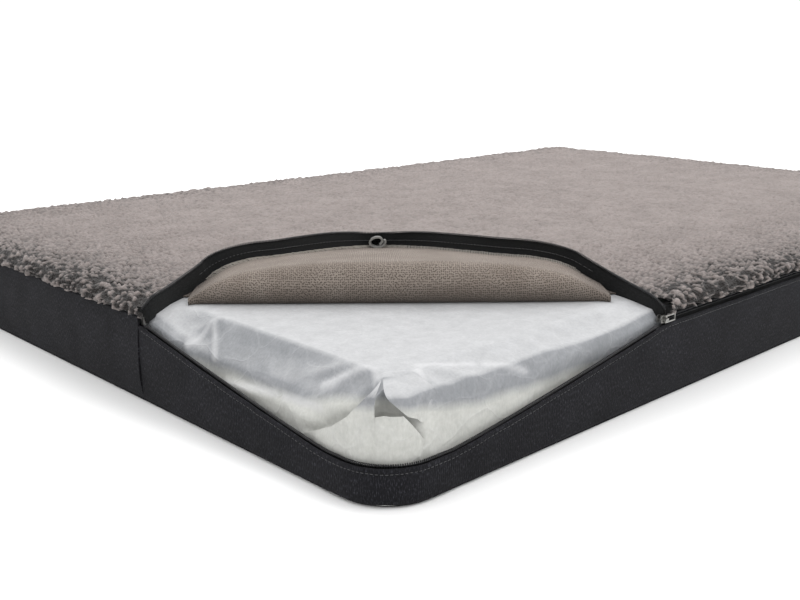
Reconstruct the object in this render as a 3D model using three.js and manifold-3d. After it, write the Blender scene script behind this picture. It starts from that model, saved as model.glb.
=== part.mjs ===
// A padded floor mat with a zip-off cover: two foam layers in a non-woven liner, inside a cover with a sherpa
// top and a woven side band. One corner of the cover is unzipped and folded back.
// Millimetres, +Z up. The origin is the middle of the underside. +X runs along the long side with the zip.
import * as THREE from "three";
import Module from "manifold-3d";
import { mergeVertices } from "three/addons/utils/BufferGeometryUtils.js";

const wasm = await Module();
wasm.setup();

// Driving dimensions of the mat.
const LENGTH = 1200;
const WIDTH = 800;
const CORNER_R = 28;
const CORNER_STEPS = 6;
const GAP = 0.3; // between pieces that touch

// Levels of the stack, from the floor up.
const BOTTOM_T = 1.6;
const LINER_T = 0.7;
const BASE_FOAM_T = 40;
const TOPPER_T = 33.7;
const BACKING_T = 1.0;
const PILE_T = 7.0;
const linerBottomZ = BOTTOM_T + GAP;
const baseFoamZ = linerBottomZ + LINER_T + GAP;
const topperZ = baseFoamZ + BASE_FOAM_T + GAP;
const foamTopZ = topperZ + TOPPER_T;
const linerTopZ = foamTopZ + GAP;
const backingZ = linerTopZ + LINER_T + GAP;
const pileZ = backingZ + BACKING_T + GAP;
const panelT = BACKING_T + GAP + PILE_T;

// Layers of the side wall, as insets from the mat's outer face.
const BAND = [0, 1.6];
const SEAM_ALLOWANCE = [1.9, 2.9];
const COIL = [2.4, 4.4];
const TAPE = [3.2, 3.8];
const MOUTH_TAPE = [3.5, 4.1]; // starts further in, because lifting the edge swings this tape outwards
const PANEL_INSET = 4.1;
const OVERLOCK = [4.1, 4.6];
const LABEL = [4.7, 5.4];
const CORNER_EAR = [4.5, 5.3];
const LINER_WALL = [6.0, 6.0 + LINER_T];
const FOAM_INSET = LINER_WALL[1] + GAP;

// The zip: two rows of coil either side of the seam line, each sewn to its tape.
const SEAM_Z = 70;
const COIL_H = 1.9;
const COIL_SPLIT = 1.2;
const TAPE_W = 11.5;
const coilLowZ = SEAM_Z - COIL_SPLIT / 2 - COIL_H;
const coilHighZ = SEAM_Z + COIL_SPLIT / 2;
const tapeLowTopZ = coilLowZ - GAP;
const tapeHighZ = coilHighZ + COIL_H + GAP;
const BAND_BOTTOM_Z = 0.2;
const BAND_BELOW_TAPE = 0.8; // the lower tape's edge shows above the band
const bandTopZ = tapeLowTopZ - BAND_BELOW_TAPE;

// The opening: how far it runs from the near corner along the left side and along the front.
const OPEN_LEFT = 288;
const OPEN_FRONT = 318;
const ZIP_WRAP = 288; // how far the zip runs past the far end of the front
const STOP_W = 4;
const STOP_OVER_COIL = 0.8; // how far an end stop reaches past the coil below and the tape above
const SAG = 38.4; // drop of the unzipped edge at the near corner
const SAG_FLAT = 0.2; // share of the way to each end that hangs level
const SAG_POWER = 1.15; // over 1, the edge climbs more steeply towards its ends
const SAG_STEP = 26; // length of the strips' straight steps along the sagging edge
const MOUTH_END_CLEAR = 3; // from each end of the opening to the loose tape

// Small sewn details of the cover and the liner.
const BAND_SEAM = { width: 8, low: 2, high: 54 }; // allowance inside the band's upright seam
const LINER_EAR = { low: 14, high: 58, slope: 0.9 }; // the liner's corner, folded flat like a parcel's
const OVERLOCK_H = 2.7;
const LABEL_LOOP = { half: 8, drop: 3 }; // half its length along the edge, and its drop below the seam line

// The slider and its pull.
const SLIDER_L = 9;
const SLIDER_HALF_H = 3.3;
const SLIDER_OUTER = [0.9, 2.1]; // insets of its outer plate
const SLIDER_INNER = [4.7, 5.6];
const POST = { from: 0.5, to: 2, halfH: 0.25 };
const ARCH = { from: 2, to: 6, leg: 0.8, halfH: 1, crown: [-2.2, -1.4] };
const PULL = { bar: 4, barHalf: 0.6, halfH: 3.2, rail: 1.1, length: 14, depth: [-0.9, 0.3] };

// The folded corner: a fold at its foot, a roll standing up from it, and a fold at its crest.
const FOLD_BACK = 20; // from the line between the opening's ends back to the lower fold
const ROLL_H = 34.6;
const FOLD_LOW_DEG = 90;
const FOLD_HIGH_DEG = 95;
const EDGE_CLEAR = 11; // from the crest to the edge strips' ends, which the fold turns towards the roll

const MATERIALS = {
  sherpa_pile: { color: 0xa89c97, roughness: 1, metalness: 0 },
  knit_backing: { color: 0x9a8e82, roughness: 0.95, metalness: 0 },
  band_fabric: { color: 0x29292c, roughness: 0.9, metalness: 0 },
  zip_tape: { color: 0x1a1a1b, roughness: 0.85, metalness: 0 },
  zip_coil: { color: 0x151516, roughness: 0.45, metalness: 0 },
  zip_metal: { color: 0x6c6b68, roughness: 0.4, metalness: 1 },
  overlock_thread: { color: 0x9b978a, roughness: 0.9, metalness: 0 },
  label_ribbon: { color: 0xa5a39c, roughness: 0.7, metalness: 0 },
  liner_nonwoven: { color: 0xd6d5d6, roughness: 0.75, metalness: 0 },
  foam_white: { color: 0xe2e2dd, roughness: 1, metalness: 0 },
  foam_cream: { color: 0xd9d4b4, roughness: 1, metalness: 0 },
};

// Stations are distances in mm along the square outline from the near corner: positive along the front, then
// the right side, the back and the left side; negative up the left side. One lap is LAP long.
const LAP = 2 * (LENGTH + WIDTH);
const SIDES = [
  { start: 0, length: LENGTH, x: -LENGTH / 2, y: -WIDTH / 2, dx: 1, dy: 0 },
  { start: LENGTH, length: WIDTH, x: LENGTH / 2, y: -WIDTH / 2, dx: 0, dy: 1 },
  { start: LENGTH + WIDTH, length: LENGTH, x: LENGTH / 2, y: WIDTH / 2, dx: -1, dy: 0 },
  { start: LAP - WIDTH, length: WIDTH, x: -LENGTH / 2, y: WIDTH / 2, dx: 0, dy: -1 },
];

// The point at a station on the rounded outline, moved inwards by inset.
function outlinePoint(station, inset) {
  const u = ((station % LAP) + LAP) % LAP;
  for (const side of SIDES) {
    const along = u - side.start;
    for (const [corner, from] of [[side, along], [side, u - side.start - LAP]]) {
      if (Math.abs(from) < CORNER_R) return cornerPoint(corner, from, inset);
    }
    if (along >= CORNER_R && along <= side.length - CORNER_R) {
      const x = side.x + side.dx * along - side.dy * inset;
      const y = side.y + side.dy * along + side.dx * inset;
      return new THREE.Vector2(x, y);
    }
  }
  throw new Error("no side holds station " + station);
}

// A point on the quarter circle that rounds the start of a side. from runs from -CORNER_R to CORNER_R.
function cornerPoint(side, from, inset) {
  const inwardX = -side.dy;
  const inwardY = side.dx;
  const centreX = side.x + (side.dx + inwardX) * CORNER_R;
  const centreY = side.y + (side.dy + inwardY) * CORNER_R;
  const turn = ((from + CORNER_R) / (2 * CORNER_R)) * (Math.PI / 2);
  const r = CORNER_R - inset;
  const x = centreX - r * (side.dx * Math.cos(turn) + inwardX * Math.sin(turn));
  const y = centreY - r * (side.dy * Math.cos(turn) + inwardY * Math.sin(turn));
  return new THREE.Vector2(x, y);
}

// The stations that a strip from one station to another needs: its ends, every corner's steps and, for a
// strip whose height changes, a station every step mm.
function stationsBetween(from, to, step = Infinity) {
  const stations = [from, to];
  for (const side of SIDES) {
    for (const lap of [-LAP, 0, LAP]) {
      for (let i = 0; i <= CORNER_STEPS; i++) {
        stations.push(side.start + lap + CORNER_R * ((2 * i) / CORNER_STEPS - 1));
      }
    }
  }
  for (let u = from + step; u < to; u += step) stations.push(u);
  const inside = stations.filter((u) => u >= from && u <= to).sort((a, b) => a - b);
  return inside.filter((u, i) => i === 0 || u - inside[i - 1] > 0.5 || u === to);
}

const asFunction = (value) => (typeof value === "function" ? value : () => value);

// A strip that follows the outline between two insets, from low to high, which may change with station.
function strip(from, to, [outer, inner], low, high, step) {
  const lowAt = asFunction(low);
  const highAt = asFunction(high);
  const stations = stationsBetween(from, to, step);
  const closed = to - from === LAP;
  if (closed) stations.pop();
  const positions = [];
  for (const u of stations) {
    const section = [[outer, lowAt(u)], [inner, lowAt(u)], [inner, highAt(u)], [outer, highAt(u)]];
    for (const [inset, z] of section) {
      const p = outlinePoint(u, inset);
      positions.push(p.x, p.y, z);
    }
  }
  const triangles = [];
  const quad = (a, b, c, d) => triangles.push(a, b, c, a, c, d);
  const sections = stations.length;
  for (let i = 0; i < (closed ? sections : sections - 1); i++) {
    const here = 4 * i;
    const next = 4 * ((i + 1) % sections);
    for (let k = 0; k < 4; k++) {
      const m = (k + 1) % 4;
      quad(here + k, here + m, next + m, next + k);
    }
  }
  if (!closed) {
    const last = 4 * (sections - 1);
    quad(3, 2, 1, 0);
    quad(last, last + 1, last + 2, last + 3);
  }
  const geometry = new THREE.BufferGeometry();
  geometry.setAttribute("position", new THREE.Float32BufferAttribute(positions, 3));
  geometry.setIndex(triangles);
  return facingOut(geometry);
}

// The signed volume of a closed mesh, which is negative when its faces point in.
function signedVolume(geometry) {
  const p = geometry.getAttribute("position");
  const index = geometry.index.array;
  const [a, b, c] = [new THREE.Vector3(), new THREE.Vector3(), new THREE.Vector3()];
  let volume = 0;
  for (let i = 0; i < index.length; i += 3) {
    a.fromBufferAttribute(p, index[i]);
    b.fromBufferAttribute(p, index[i + 1]);
    c.fromBufferAttribute(p, index[i + 2]);
    volume += a.dot(b.cross(c)) / 6;
  }
  return volume;
}

function facingOut(geometry) {
  if (signedVolume(geometry) < 0) geometry.index.array.reverse();
  geometry.computeVertexNormals();
  return geometry;
}

// A flat plate of a plan outline, from one level up.
function plate(outline, z, thickness) {
  const shape = new THREE.Shape(outline);
  const geometry = new THREE.ExtrudeGeometry(shape, { depth: thickness, bevelEnabled: false });
  geometry.translate(0, 0, z);
  return geometry;
}

// The plan of the whole mat at an inset. The last station is the first one again, a lap later.
function matOutline(inset) {
  const stations = stationsBetween(-CORNER_R, LAP - CORNER_R).slice(0, -1);
  return stations.map((u) => outlinePoint(u, inset));
}

// The line between the opening's two ends, with its direction and its normal towards the near corner.
const leftEnd = new THREE.Vector2(-LENGTH / 2, -WIDTH / 2 + OPEN_LEFT);
const frontEnd = new THREE.Vector2(-LENGTH / 2 + OPEN_FRONT, -WIDTH / 2);
const mouthDirection = frontEnd.clone().sub(leftEnd).normalize();
const mouthNormal = new THREE.Vector2(mouthDirection.y, -mouthDirection.x);
const mouthMiddle = leftEnd.clone().add(frontEnd).multiplyScalar(0.5);
const mouthOffset = (point) => point.clone().sub(mouthMiddle).dot(mouthNormal);

// The part of a plan outline whose distance past the opening's line, towards the near corner, is in a range.
function clipped(outline, low, high) {
  let kept = outline;
  for (const [limit, sign] of [[low, 1], [high, -1]]) {
    const inside = (point) => sign * (mouthOffset(point) - limit);
    const next = [];
    for (let i = 0; i < kept.length; i++) {
      const a = kept[i];
      const b = kept[(i + 1) % kept.length];
      const [da, db] = [inside(a), inside(b)];
      if (da >= 0) next.push(a);
      if (da >= 0 !== db >= 0) next.push(a.clone().lerp(b, da / (da - db)));
    }
    kept = next;
  }
  return kept;
}

// How high the unzipped edge of the band hangs at a station.
function saggingTop(station) {
  const share = Math.abs(station) / (station < 0 ? OPEN_LEFT : OPEN_FRONT);
  const rise = Math.max(0, (share - SAG_FLAT) / (1 - SAG_FLAT));
  return bandTopZ - SAG * (1 - Math.min(1, rise ** SAG_POWER));
}

// A closed geometry as a solid that can be joined to others.
function asSolid(geometry) {
  const bare = geometry.index ? geometry.toNonIndexed() : geometry.clone();
  for (const name of ["normal", "uv"]) bare.deleteAttribute(name);
  const merged = mergeVertices(bare, 1e-4);
  const vertProperties = merged.getAttribute("position").array;
  const triVerts = new Uint32Array(merged.index.array);
  return new wasm.Manifold(new wasm.Mesh({ numProp: 3, vertProperties, triVerts }));
}

// Joins closed geometries into one.
function joined(...geometries) {
  const mesh = geometries.map(asSolid).reduce((whole, solid) => whole.add(solid)).getMesh();
  const geometry = new THREE.BufferGeometry();
  geometry.setAttribute("position", new THREE.Float32BufferAttribute(mesh.vertProperties, 3));
  geometry.setIndex([...mesh.triVerts]);
  geometry.computeVertexNormals();
  return geometry;
}

// A box given by its lowest and highest corners.
function box(low, high) {
  const size = high.map((value, i) => value - low[i]);
  const geometry = new THREE.BoxGeometry(...size);
  return geometry.translate(...low.map((value, i) => value + size[i] / 2));
}

function piece(name, slot, geometry) {
  const mesh = new THREE.Mesh(geometry, new THREE.MeshStandardMaterial(MATERIALS[slot]));
  mesh.name = name;
  return mesh;
}

// The core: two foam layers in their liner.
function core() {
  const foam = matOutline(FOAM_INSET);
  const liner = matOutline(LINER_WALL[0]);
  const start = -CORNER_R;
  const earTop = (u) => LINER_EAR.high - LINER_EAR.slope * Math.abs(u);
  return [
    piece("support_foam", "foam_cream", plate(foam, baseFoamZ, BASE_FOAM_T)),
    piece("comfort_foam", "foam_white", plate(foam, topperZ, TOPPER_T)),
    piece("liner_bottom_sheet", "liner_nonwoven", plate(liner, linerBottomZ, LINER_T)),
    piece("liner_side_wall", "liner_nonwoven", strip(start, start + LAP, LINER_WALL, baseFoamZ, foamTopZ)),
    piece("liner_top_sheet", "liner_nonwoven", plate(liner, linerTopZ, LINER_T)),
    piece("liner_corner_fold", "liner_nonwoven", strip(start, -start, CORNER_EAR, LINER_EAR.low, earTop)),
  ];
}

// The woven side band: a straight run on each side, the corners between them, and the unzipped stretch. It
// stops under the zip, and reaches up to the top panel where there is no zip.
function sideBand() {
  const gap = GAP / 2;
  const stretch = (name, from, to, top) =>
    piece(name, "band_fabric", strip(from + gap, to - gap, BAND, BAND_BOTTOM_Z, top));
  const rightStart = LENGTH;
  const backStart = LENGTH + WIDTH;
  const leftStart = LAP - WIDTH;
  const zipEnd = LENGTH + ZIP_WRAP + STOP_W;
  const seam = -OPEN_LEFT - STOP_W;
  const fullTop = backingZ - GAP;
  const open = strip(seam + gap, OPEN_FRONT - gap, BAND, BAND_BOTTOM_Z, saggingTop, SAG_STEP);
  const seamStart = seam - BAND_SEAM.width;
  const allowance = strip(seamStart, seam - GAP, SEAM_ALLOWANCE, BAND_SEAM.low, BAND_SEAM.high);
  return [
    piece("side_band_open_stretch", "band_fabric", open),
    stretch("side_band_front", OPEN_FRONT, rightStart - CORNER_R, bandTopZ),
    stretch("side_band_front_right_corner", rightStart - CORNER_R, rightStart + CORNER_R, bandTopZ),
    stretch("side_band_right_zipped", rightStart + CORNER_R, zipEnd, bandTopZ),
    stretch("side_band_right", zipEnd, backStart - CORNER_R, fullTop),
    stretch("side_band_back_right_corner", backStart - CORNER_R, backStart + CORNER_R, fullTop),
    stretch("side_band_back", backStart + CORNER_R, leftStart - CORNER_R, fullTop),
    stretch("side_band_back_left_corner", leftStart - CORNER_R, leftStart + CORNER_R, fullTop),
    stretch("side_band_left", leftStart + CORNER_R, LAP + seam, fullTop),
    piece("side_band_seam_allowance", "band_fabric", allowance),
  ];
}

// The sherpa panel that stays on the mat, up to the lower fold.
function topPanel() {
  const outline = matOutline(PANEL_INSET);
  const end = -FOLD_BACK;
  const behind = -LENGTH - WIDTH;
  const backing = clipped(outline, behind, end - BACKING_T - GAP);
  const pile = clipped(outline, behind, end - panelT - GAP);
  return [
    piece("top_panel_knit_backing", "knit_backing", plate(backing, backingZ, BACKING_T)),
    piece("top_panel_sherpa_pile", "sherpa_pile", plate(pile, pileZ, PILE_T)),
  ];
}

// The closed stretch of the zip, from the slider to its end past the front's far corner, and both end stops.
function closedZip() {
  const from = OPEN_FRONT + 2 * GAP;
  const to = LENGTH + ZIP_WRAP;
  const low = coilLowZ - STOP_OVER_COIL;
  const high = coilHighZ + COIL_H + STOP_OVER_COIL;
  const tapeLowZ = tapeLowTopZ - TAPE_W;
  return [
    piece("closed_zip_tape_lower", "zip_tape", strip(from, to, TAPE, tapeLowZ, tapeLowTopZ)),
    piece("closed_zip_tape_upper", "zip_tape", strip(from, to, TAPE, tapeHighZ, tapeHighZ + TAPE_W)),
    piece("closed_zip_coil_lower", "zip_coil", strip(from, to, COIL, coilLowZ, coilLowZ + COIL_H)),
    piece("closed_zip_coil_upper", "zip_coil", strip(from, to, COIL, coilHighZ, coilHighZ + COIL_H)),
    piece("zip_stop_far", "zip_metal", strip(to + GAP, to + GAP + STOP_W, COIL, low, high)),
    piece("zip_stop_near", "zip_metal", strip(-OPEN_LEFT - STOP_W, -OPEN_LEFT, COIL, low, high)),
  ];
}

// The zip half on the sagging edge of the band.
function mouthEdge() {
  const from = -OPEN_LEFT + MOUTH_END_CLEAR;
  const to = OPEN_FRONT - SLIDER_L - MOUTH_END_CLEAR;
  const lift = (offset) => (u) => saggingTop(u) + offset;
  const tapeTop = tapeLowTopZ - bandTopZ;
  const coilLow = coilLowZ - bandTopZ;
  const tape = strip(from, to, MOUTH_TAPE, lift(tapeTop - TAPE_W), lift(tapeTop), SAG_STEP);
  const coil = strip(from, to, COIL, lift(coilLow), lift(coilLow + COIL_H), SAG_STEP);
  return [piece("mouth_zip_tape", "zip_tape", tape), piece("mouth_zip_coil", "zip_coil", coil)];
}

// The slider: an outer and an inner plate, a thin post between them where the coils part, and an arch outside.
function zipSlider() {
  const face = -WIDTH / 2;
  const x0 = -LENGTH / 2 + OPEN_FRONT - SLIDER_L;
  const halfOutline = [
    [0, SLIDER_HALF_H - 0.4],
    [3, SLIDER_HALF_H],
    [SLIDER_L - 1, SLIDER_HALF_H - 0.8],
    [SLIDER_L, 1.5],
  ];
  const upper = halfOutline.map(([x, h]) => new THREE.Vector2(x0 + x, SEAM_Z + h));
  const lower = halfOutline.map(([x, h]) => new THREE.Vector2(x0 + x, SEAM_Z - h));
  const outline = new THREE.Shape([...lower, ...upper.reverse()]);
  const plateAt = ([outer, inner]) => {
    const geometry = new THREE.ExtrudeGeometry(outline, { depth: inner - outer, bevelEnabled: false });
    geometry.rotateX(Math.PI / 2);
    return geometry.translate(0, face + inner, 0);
  };
  // A block as high above the seam line as below it, given by x from the slider's nose and by inset.
  const block = ([fromX, toX], [outer, inner], halfH) =>
    box([x0 + fromX, face + outer, SEAM_Z - halfH], [x0 + toX, face + inner, SEAM_Z + halfH]);
  const post = block([POST.from, POST.to], [SLIDER_OUTER[1] - 0.6, SLIDER_INNER[0] + 0.5], POST.halfH);
  const legs = [ARCH.from, ARCH.to - ARCH.leg].map((x) =>
    block([x, x + ARCH.leg], [ARCH.crown[1] - 0.4, SLIDER_OUTER[0] + 0.3], ARCH.halfH));
  const crown = block([ARCH.from, ARCH.to], ARCH.crown, ARCH.halfH);
  const plates = [SLIDER_OUTER, SLIDER_INNER].map(plateAt);
  return piece("zip_slider", "zip_metal", joined(...plates, post, ...legs, crown));
}

// The pull: an open loop whose end bar lies under the slider's arch.
function zipPull() {
  const face = -WIDTH / 2;
  const barX = -LENGTH / 2 + OPEN_FRONT - SLIDER_L + PULL.bar;
  const [outerY, innerY] = PULL.depth.map((depth) => face + depth);
  const bar = (fromX, toX, lowZ, highZ) =>
    box([barX + fromX, outerY, SEAM_Z + lowZ], [barX + toX, innerY, SEAM_Z + highZ]);
  const { barHalf, halfH, rail, length } = PULL;
  const endBar = bar(-barHalf, barHalf, -halfH, halfH);
  const rails = [-halfH, halfH - rail].map((z) => bar(-barHalf, length, z, z + rail));
  const tip = bar(length - rail, length, -halfH, halfH);
  return piece("zip_pull_tab", "zip_metal", joined(endBar, ...rails, tip));
}

// A group that turns everything in it back by an angle about a line parallel to the opening's, at a level.
function foldGroup(offset, z, degrees) {
  const point = mouthMiddle.clone().addScaledVector(mouthNormal, offset);
  const axis = new THREE.Vector3(mouthDirection.x, mouthDirection.y, 0);
  const turned = new THREE.Group();
  const contents = new THREE.Group();
  turned.position.set(point.x, point.y, z);
  turned.setRotationFromAxisAngle(axis, -THREE.MathUtils.degToRad(degrees));
  contents.position.set(-point.x, -point.y, -z);
  turned.add(contents);
  return { turned, contents };
}

// The folded corner. It is laid out flat, where it closes the mat, and two groups fold it back from there:
// the roll stands up from its foot, and the flap lies back from the roll's crest.
function foldedCorner() {
  const outline = matOutline(PANEL_INSET);
  const foot = -FOLD_BACK;
  const crest = foot + ROLL_H;
  const crestLean = Math.tan(THREE.MathUtils.degToRad(FOLD_HIGH_DEG / 2));
  const layer = (z, thickness, from, to) => plate(clipped(outline, from, to), z, thickness);
  const footBack = (depth) => foot + depth + GAP;
  const crestFront = (depth) => crest - depth * crestLean - GAP;
  const crestBack = (depth) => crest + depth * crestLean + GAP;

  const rollBacking = layer(backingZ, BACKING_T, footBack(BACKING_T), crestFront(BACKING_T));
  const rollPile = layer(pileZ, PILE_T, footBack(panelT), crestFront(panelT));
  const flapBacking = layer(backingZ, BACKING_T, crestBack(BACKING_T), WIDTH);
  const flapPile = layer(pileZ, PILE_T, crestBack(panelT), WIDTH);

  // The edge strips start a little past the crest, on either side of the corner.
  const reachLeft = OPEN_LEFT - crest / Math.abs(mouthNormal.y) - EDGE_CLEAR;
  const reachFront = OPEN_FRONT - crest / Math.abs(mouthNormal.x) - EDGE_CLEAR;
  const along = (insets, low, high) => strip(-reachLeft, reachFront, insets, low, high);
  const tape = along(TAPE, tapeHighZ, tapeHighZ + TAPE_W);
  const coil = along(COIL, coilHighZ, coilHighZ + COIL_H);
  const overlockTop = backingZ - GAP;
  const overlock = along(OVERLOCK, overlockTop - OVERLOCK_H, overlockTop);
  const label = strip(-LABEL_LOOP.half, LABEL_LOOP.half, LABEL, SEAM_Z - LABEL_LOOP.drop, overlockTop);

  const roll = foldGroup(foot, backingZ, FOLD_LOW_DEG);
  roll.contents.add(piece("fold_knit_backing", "knit_backing", rollBacking));
  roll.contents.add(piece("fold_sherpa_pile", "sherpa_pile", rollPile));
  const flap = foldGroup(crest, backingZ, FOLD_HIGH_DEG);
  flap.contents.add(piece("flap_knit_backing", "knit_backing", flapBacking));
  flap.contents.add(piece("flap_sherpa_pile", "sherpa_pile", flapPile));
  flap.contents.add(piece("flap_zip_tape", "zip_tape", tape));
  flap.contents.add(piece("flap_zip_coil", "zip_coil", coil));
  flap.contents.add(piece("flap_overlock_edge", "overlock_thread", overlock));
  flap.contents.add(piece("flap_label_loop", "label_ribbon", label));
  roll.contents.add(flap.turned);
  return roll.turned;
}

const mat = new THREE.Group();
mat.add(piece("bottom_panel", "band_fabric", plate(matOutline(BAND[1] + GAP), 0, BOTTOM_T)));
mat.add(...core(), ...sideBand(), ...topPanel(), ...closedZip(), ...mouthEdge());
mat.add(foldedCorner(), zipSlider(), zipPull());

export default mat;
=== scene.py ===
"""A padded floor mat in a zip-off sherpa cover, with one corner unzipped and folded back over the mat.

Metres, +Z up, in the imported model's frame. "Near" is the unzipped corner, at the lowest x and y. "Front" is
the long side that runs from it along +X, and "left" the short side that runs from it along +Y.
"""
import math

import bpy
import numpy as np
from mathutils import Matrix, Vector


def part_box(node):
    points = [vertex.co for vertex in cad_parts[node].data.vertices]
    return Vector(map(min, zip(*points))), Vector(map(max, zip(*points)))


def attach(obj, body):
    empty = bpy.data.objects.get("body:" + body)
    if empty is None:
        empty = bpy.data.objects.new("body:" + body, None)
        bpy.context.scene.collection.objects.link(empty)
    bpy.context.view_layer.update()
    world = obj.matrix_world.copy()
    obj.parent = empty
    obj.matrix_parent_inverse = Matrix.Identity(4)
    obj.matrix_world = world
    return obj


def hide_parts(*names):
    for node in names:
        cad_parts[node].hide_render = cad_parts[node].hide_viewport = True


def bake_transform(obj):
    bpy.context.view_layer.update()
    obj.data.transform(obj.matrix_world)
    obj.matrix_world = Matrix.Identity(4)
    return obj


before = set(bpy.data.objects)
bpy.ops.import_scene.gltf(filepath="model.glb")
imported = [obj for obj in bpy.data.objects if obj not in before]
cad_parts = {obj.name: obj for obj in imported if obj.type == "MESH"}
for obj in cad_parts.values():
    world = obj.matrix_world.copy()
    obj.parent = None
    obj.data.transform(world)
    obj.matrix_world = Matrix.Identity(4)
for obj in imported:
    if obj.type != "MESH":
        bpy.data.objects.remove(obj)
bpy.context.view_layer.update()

# ---------------------------------------------------------------- places, from the frame
X0, Y0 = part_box("side_band_open_stretch")[0][:2]
X1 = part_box("side_band_right")[1].x
Y1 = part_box("side_band_back")[1].y
LENGTH = X1 - X0
WIDTH = Y1 - Y0
LAP = 2 * (LENGTH + WIDTH)
BACKING_LOW, BACKING_HIGH = (corner.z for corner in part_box("top_panel_knit_backing"))
PILE_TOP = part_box("top_panel_sherpa_pile")[1].z
LINER_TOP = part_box("liner_top_sheet")[1].z
ZIPPED_BAND_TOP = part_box("side_band_front")[1].z
PLAIN_BAND_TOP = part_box("side_band_back")[1].z
OPEN_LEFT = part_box("zip_stop_near")[0].y - Y0
OPEN_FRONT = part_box("closed_zip_tape_lower")[0].x - X0
SEAM_Z = (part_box("closed_zip_coil_lower")[1].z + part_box("closed_zip_coil_upper")[0].z) / 2
ZIP_END_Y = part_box("closed_zip_tape_lower")[1].y
ZIP_END = LENGTH + ZIP_END_Y - Y0

# The line between the opening's ends, the direction along it from left to front, and the one across it.
TIP_LEFT = np.array([X0, Y0 + OPEN_LEFT])
TIP_FRONT = np.array([X0 + OPEN_FRONT, Y0])
MOUTH = float(np.linalg.norm(TIP_FRONT - TIP_LEFT))
ALONG = (TIP_FRONT - TIP_LEFT) / MOUTH
ACROSS = np.array([ALONG[1], -ALONG[0]])

# ---------------------------------------------------------------- driving sizes
NEAR_R = 0.042  # corner radius where the band is open and slack
FAR_R = 0.030
BAND_T = 0.0014
SAG = 0.0385  # how far the opened edge of the band hangs down
SAG_FLAT = 0.2  # share of each side of the opening, from the near corner, that hangs all the way down
PANEL_INSET = 0.004
TAPE_H = 0.0165  # the loose tape on the folded corner
TAPE_T = 0.0006
COIL_PITCH = 0.0016
COIL_WIRE = 0.00045  # radius
FOLD_BACK = 0.028  # the fold's foot lies this far behind the opening's line
FOLD_TURN = math.radians(188)
ROLL_THIN = 0.0008  # the roll's radius where it runs out
ROLL_RISE = 0.0162  # growth of the roll's upward radius to full size
ROLL_DEPTH = 0.0088  # growth of its radius across
FLAP_LEFT = -OPEN_LEFT + 0.052  # from here to FLAP_FRONT, the loose tape moves with the folded corner
FLAP_FRONT = OPEN_FRONT - 0.066
UPRIGHT_SEAM = -OPEN_LEFT - 0.004  # station of the seam between the opened and the closed band
STITCH_STEP = 0.0040
LINER_GAP = 0.0002  # clearance of the liner from the cloth over it
# Share of the roll's full size, for the distance from either end of the fold.
ROLL_GROWTH = ([0.030, 0.037, 0.048, 0.060, 0.080, 0.108, 0.150], [0, 0.08, 0.31, 0.55, 0.77, 0.92, 1])
CURL = 0.0048  # size of a curl of the pile


# ---------------------------------------------------------------- small maths
def smooth(t):
    t = np.clip(t, 0, 1)
    return t * t * (3 - 2 * t)


def unit(vectors):
    """The same vectors at a length of one."""
    return vectors / np.maximum(np.linalg.norm(vectors, axis=-1, keepdims=True), 1e-12)


def cell_random(ix, iy, seed):
    """A repeatable number from 0 to 1 for each cell of a grid."""
    n = (ix.astype(np.int64) * 73856093) ^ (iy.astype(np.int64) * 19349663) ^ (seed * 83492791)
    n = (n & 0x7FFFFFFF) * 48271 % 0x7FFFFFFF
    n = (n ^ (n >> 13)) * 69621 % 0x7FFFFFFF
    n = (n ^ (n >> 11)) & 0xFFFFFF
    return n / 0x1000000


def soft_noise(x, y, size, seed):
    """Smooth noise from -1 to 1 with bumps about size apart."""
    gx, gy = x / size, y / size
    ix, iy = np.floor(gx), np.floor(gy)
    sx, sy = smooth(gx - ix), smooth(gy - iy)
    low = cell_random(ix, iy, seed) * (1 - sx) + cell_random(ix + 1, iy, seed) * sx
    high = cell_random(ix, iy + 1, seed) * (1 - sx) + cell_random(ix + 1, iy + 1, seed) * sx
    return 2 * (low * (1 - sy) + high * sy) - 1


def line_noise(station, size, seed):
    """Smooth noise from -1 to 1 along a line."""
    return soft_noise(station, station * 0, size, seed)


def creased_noise(x, y, size, seed):
    """Noise from 0 to 1 with sharp ridges, like crumpled paper."""
    wx = x + 0.3 * size * soft_noise(x, y, size * 1.7, seed + 1)
    wy = y + 0.3 * size * soft_noise(x, y, size * 1.7, seed + 2)
    return 1 - np.abs(soft_noise(wx, wy, size, seed))


def tufts(x, y, size, seed):
    """Height from 0 to 1 of a carpet of tufts about size across, with narrow gaps between them."""
    gx = x / size + 0.45 * soft_noise(x, y, size * 1.6, seed + 5)
    gy = y / size + 0.45 * soft_noise(x, y, size * 1.6, seed + 6)
    ix, iy = np.floor(gx), np.floor(gy)
    nearest = np.full(gx.shape, 9.0)
    second = np.full(gx.shape, 9.0)
    tall = np.zeros(gx.shape)
    for i in (-1, 0, 1):
        for j in (-1, 0, 1):
            cx = ix + i + 0.5 + 0.75 * (cell_random(ix + i, iy + j, seed) - 0.5)
            cy = iy + j + 0.5 + 0.75 * (cell_random(ix + i, iy + j, seed + 1) - 0.5)
            distance = np.hypot(gx - cx, gy - cy)
            closer = distance < nearest
            second = np.where(closer, nearest, np.minimum(second, distance))
            tall = np.where(closer, cell_random(ix + i, iy + j, seed + 2), tall)
            nearest = np.where(closer, distance, nearest)
    dome = np.clip(1 - (nearest / 0.8) ** 2, 0, 1)
    edge = smooth((second - nearest) / 0.4)
    return (0.45 * dome + 0.55 * edge) * (0.55 + 0.45 * tall)


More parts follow.
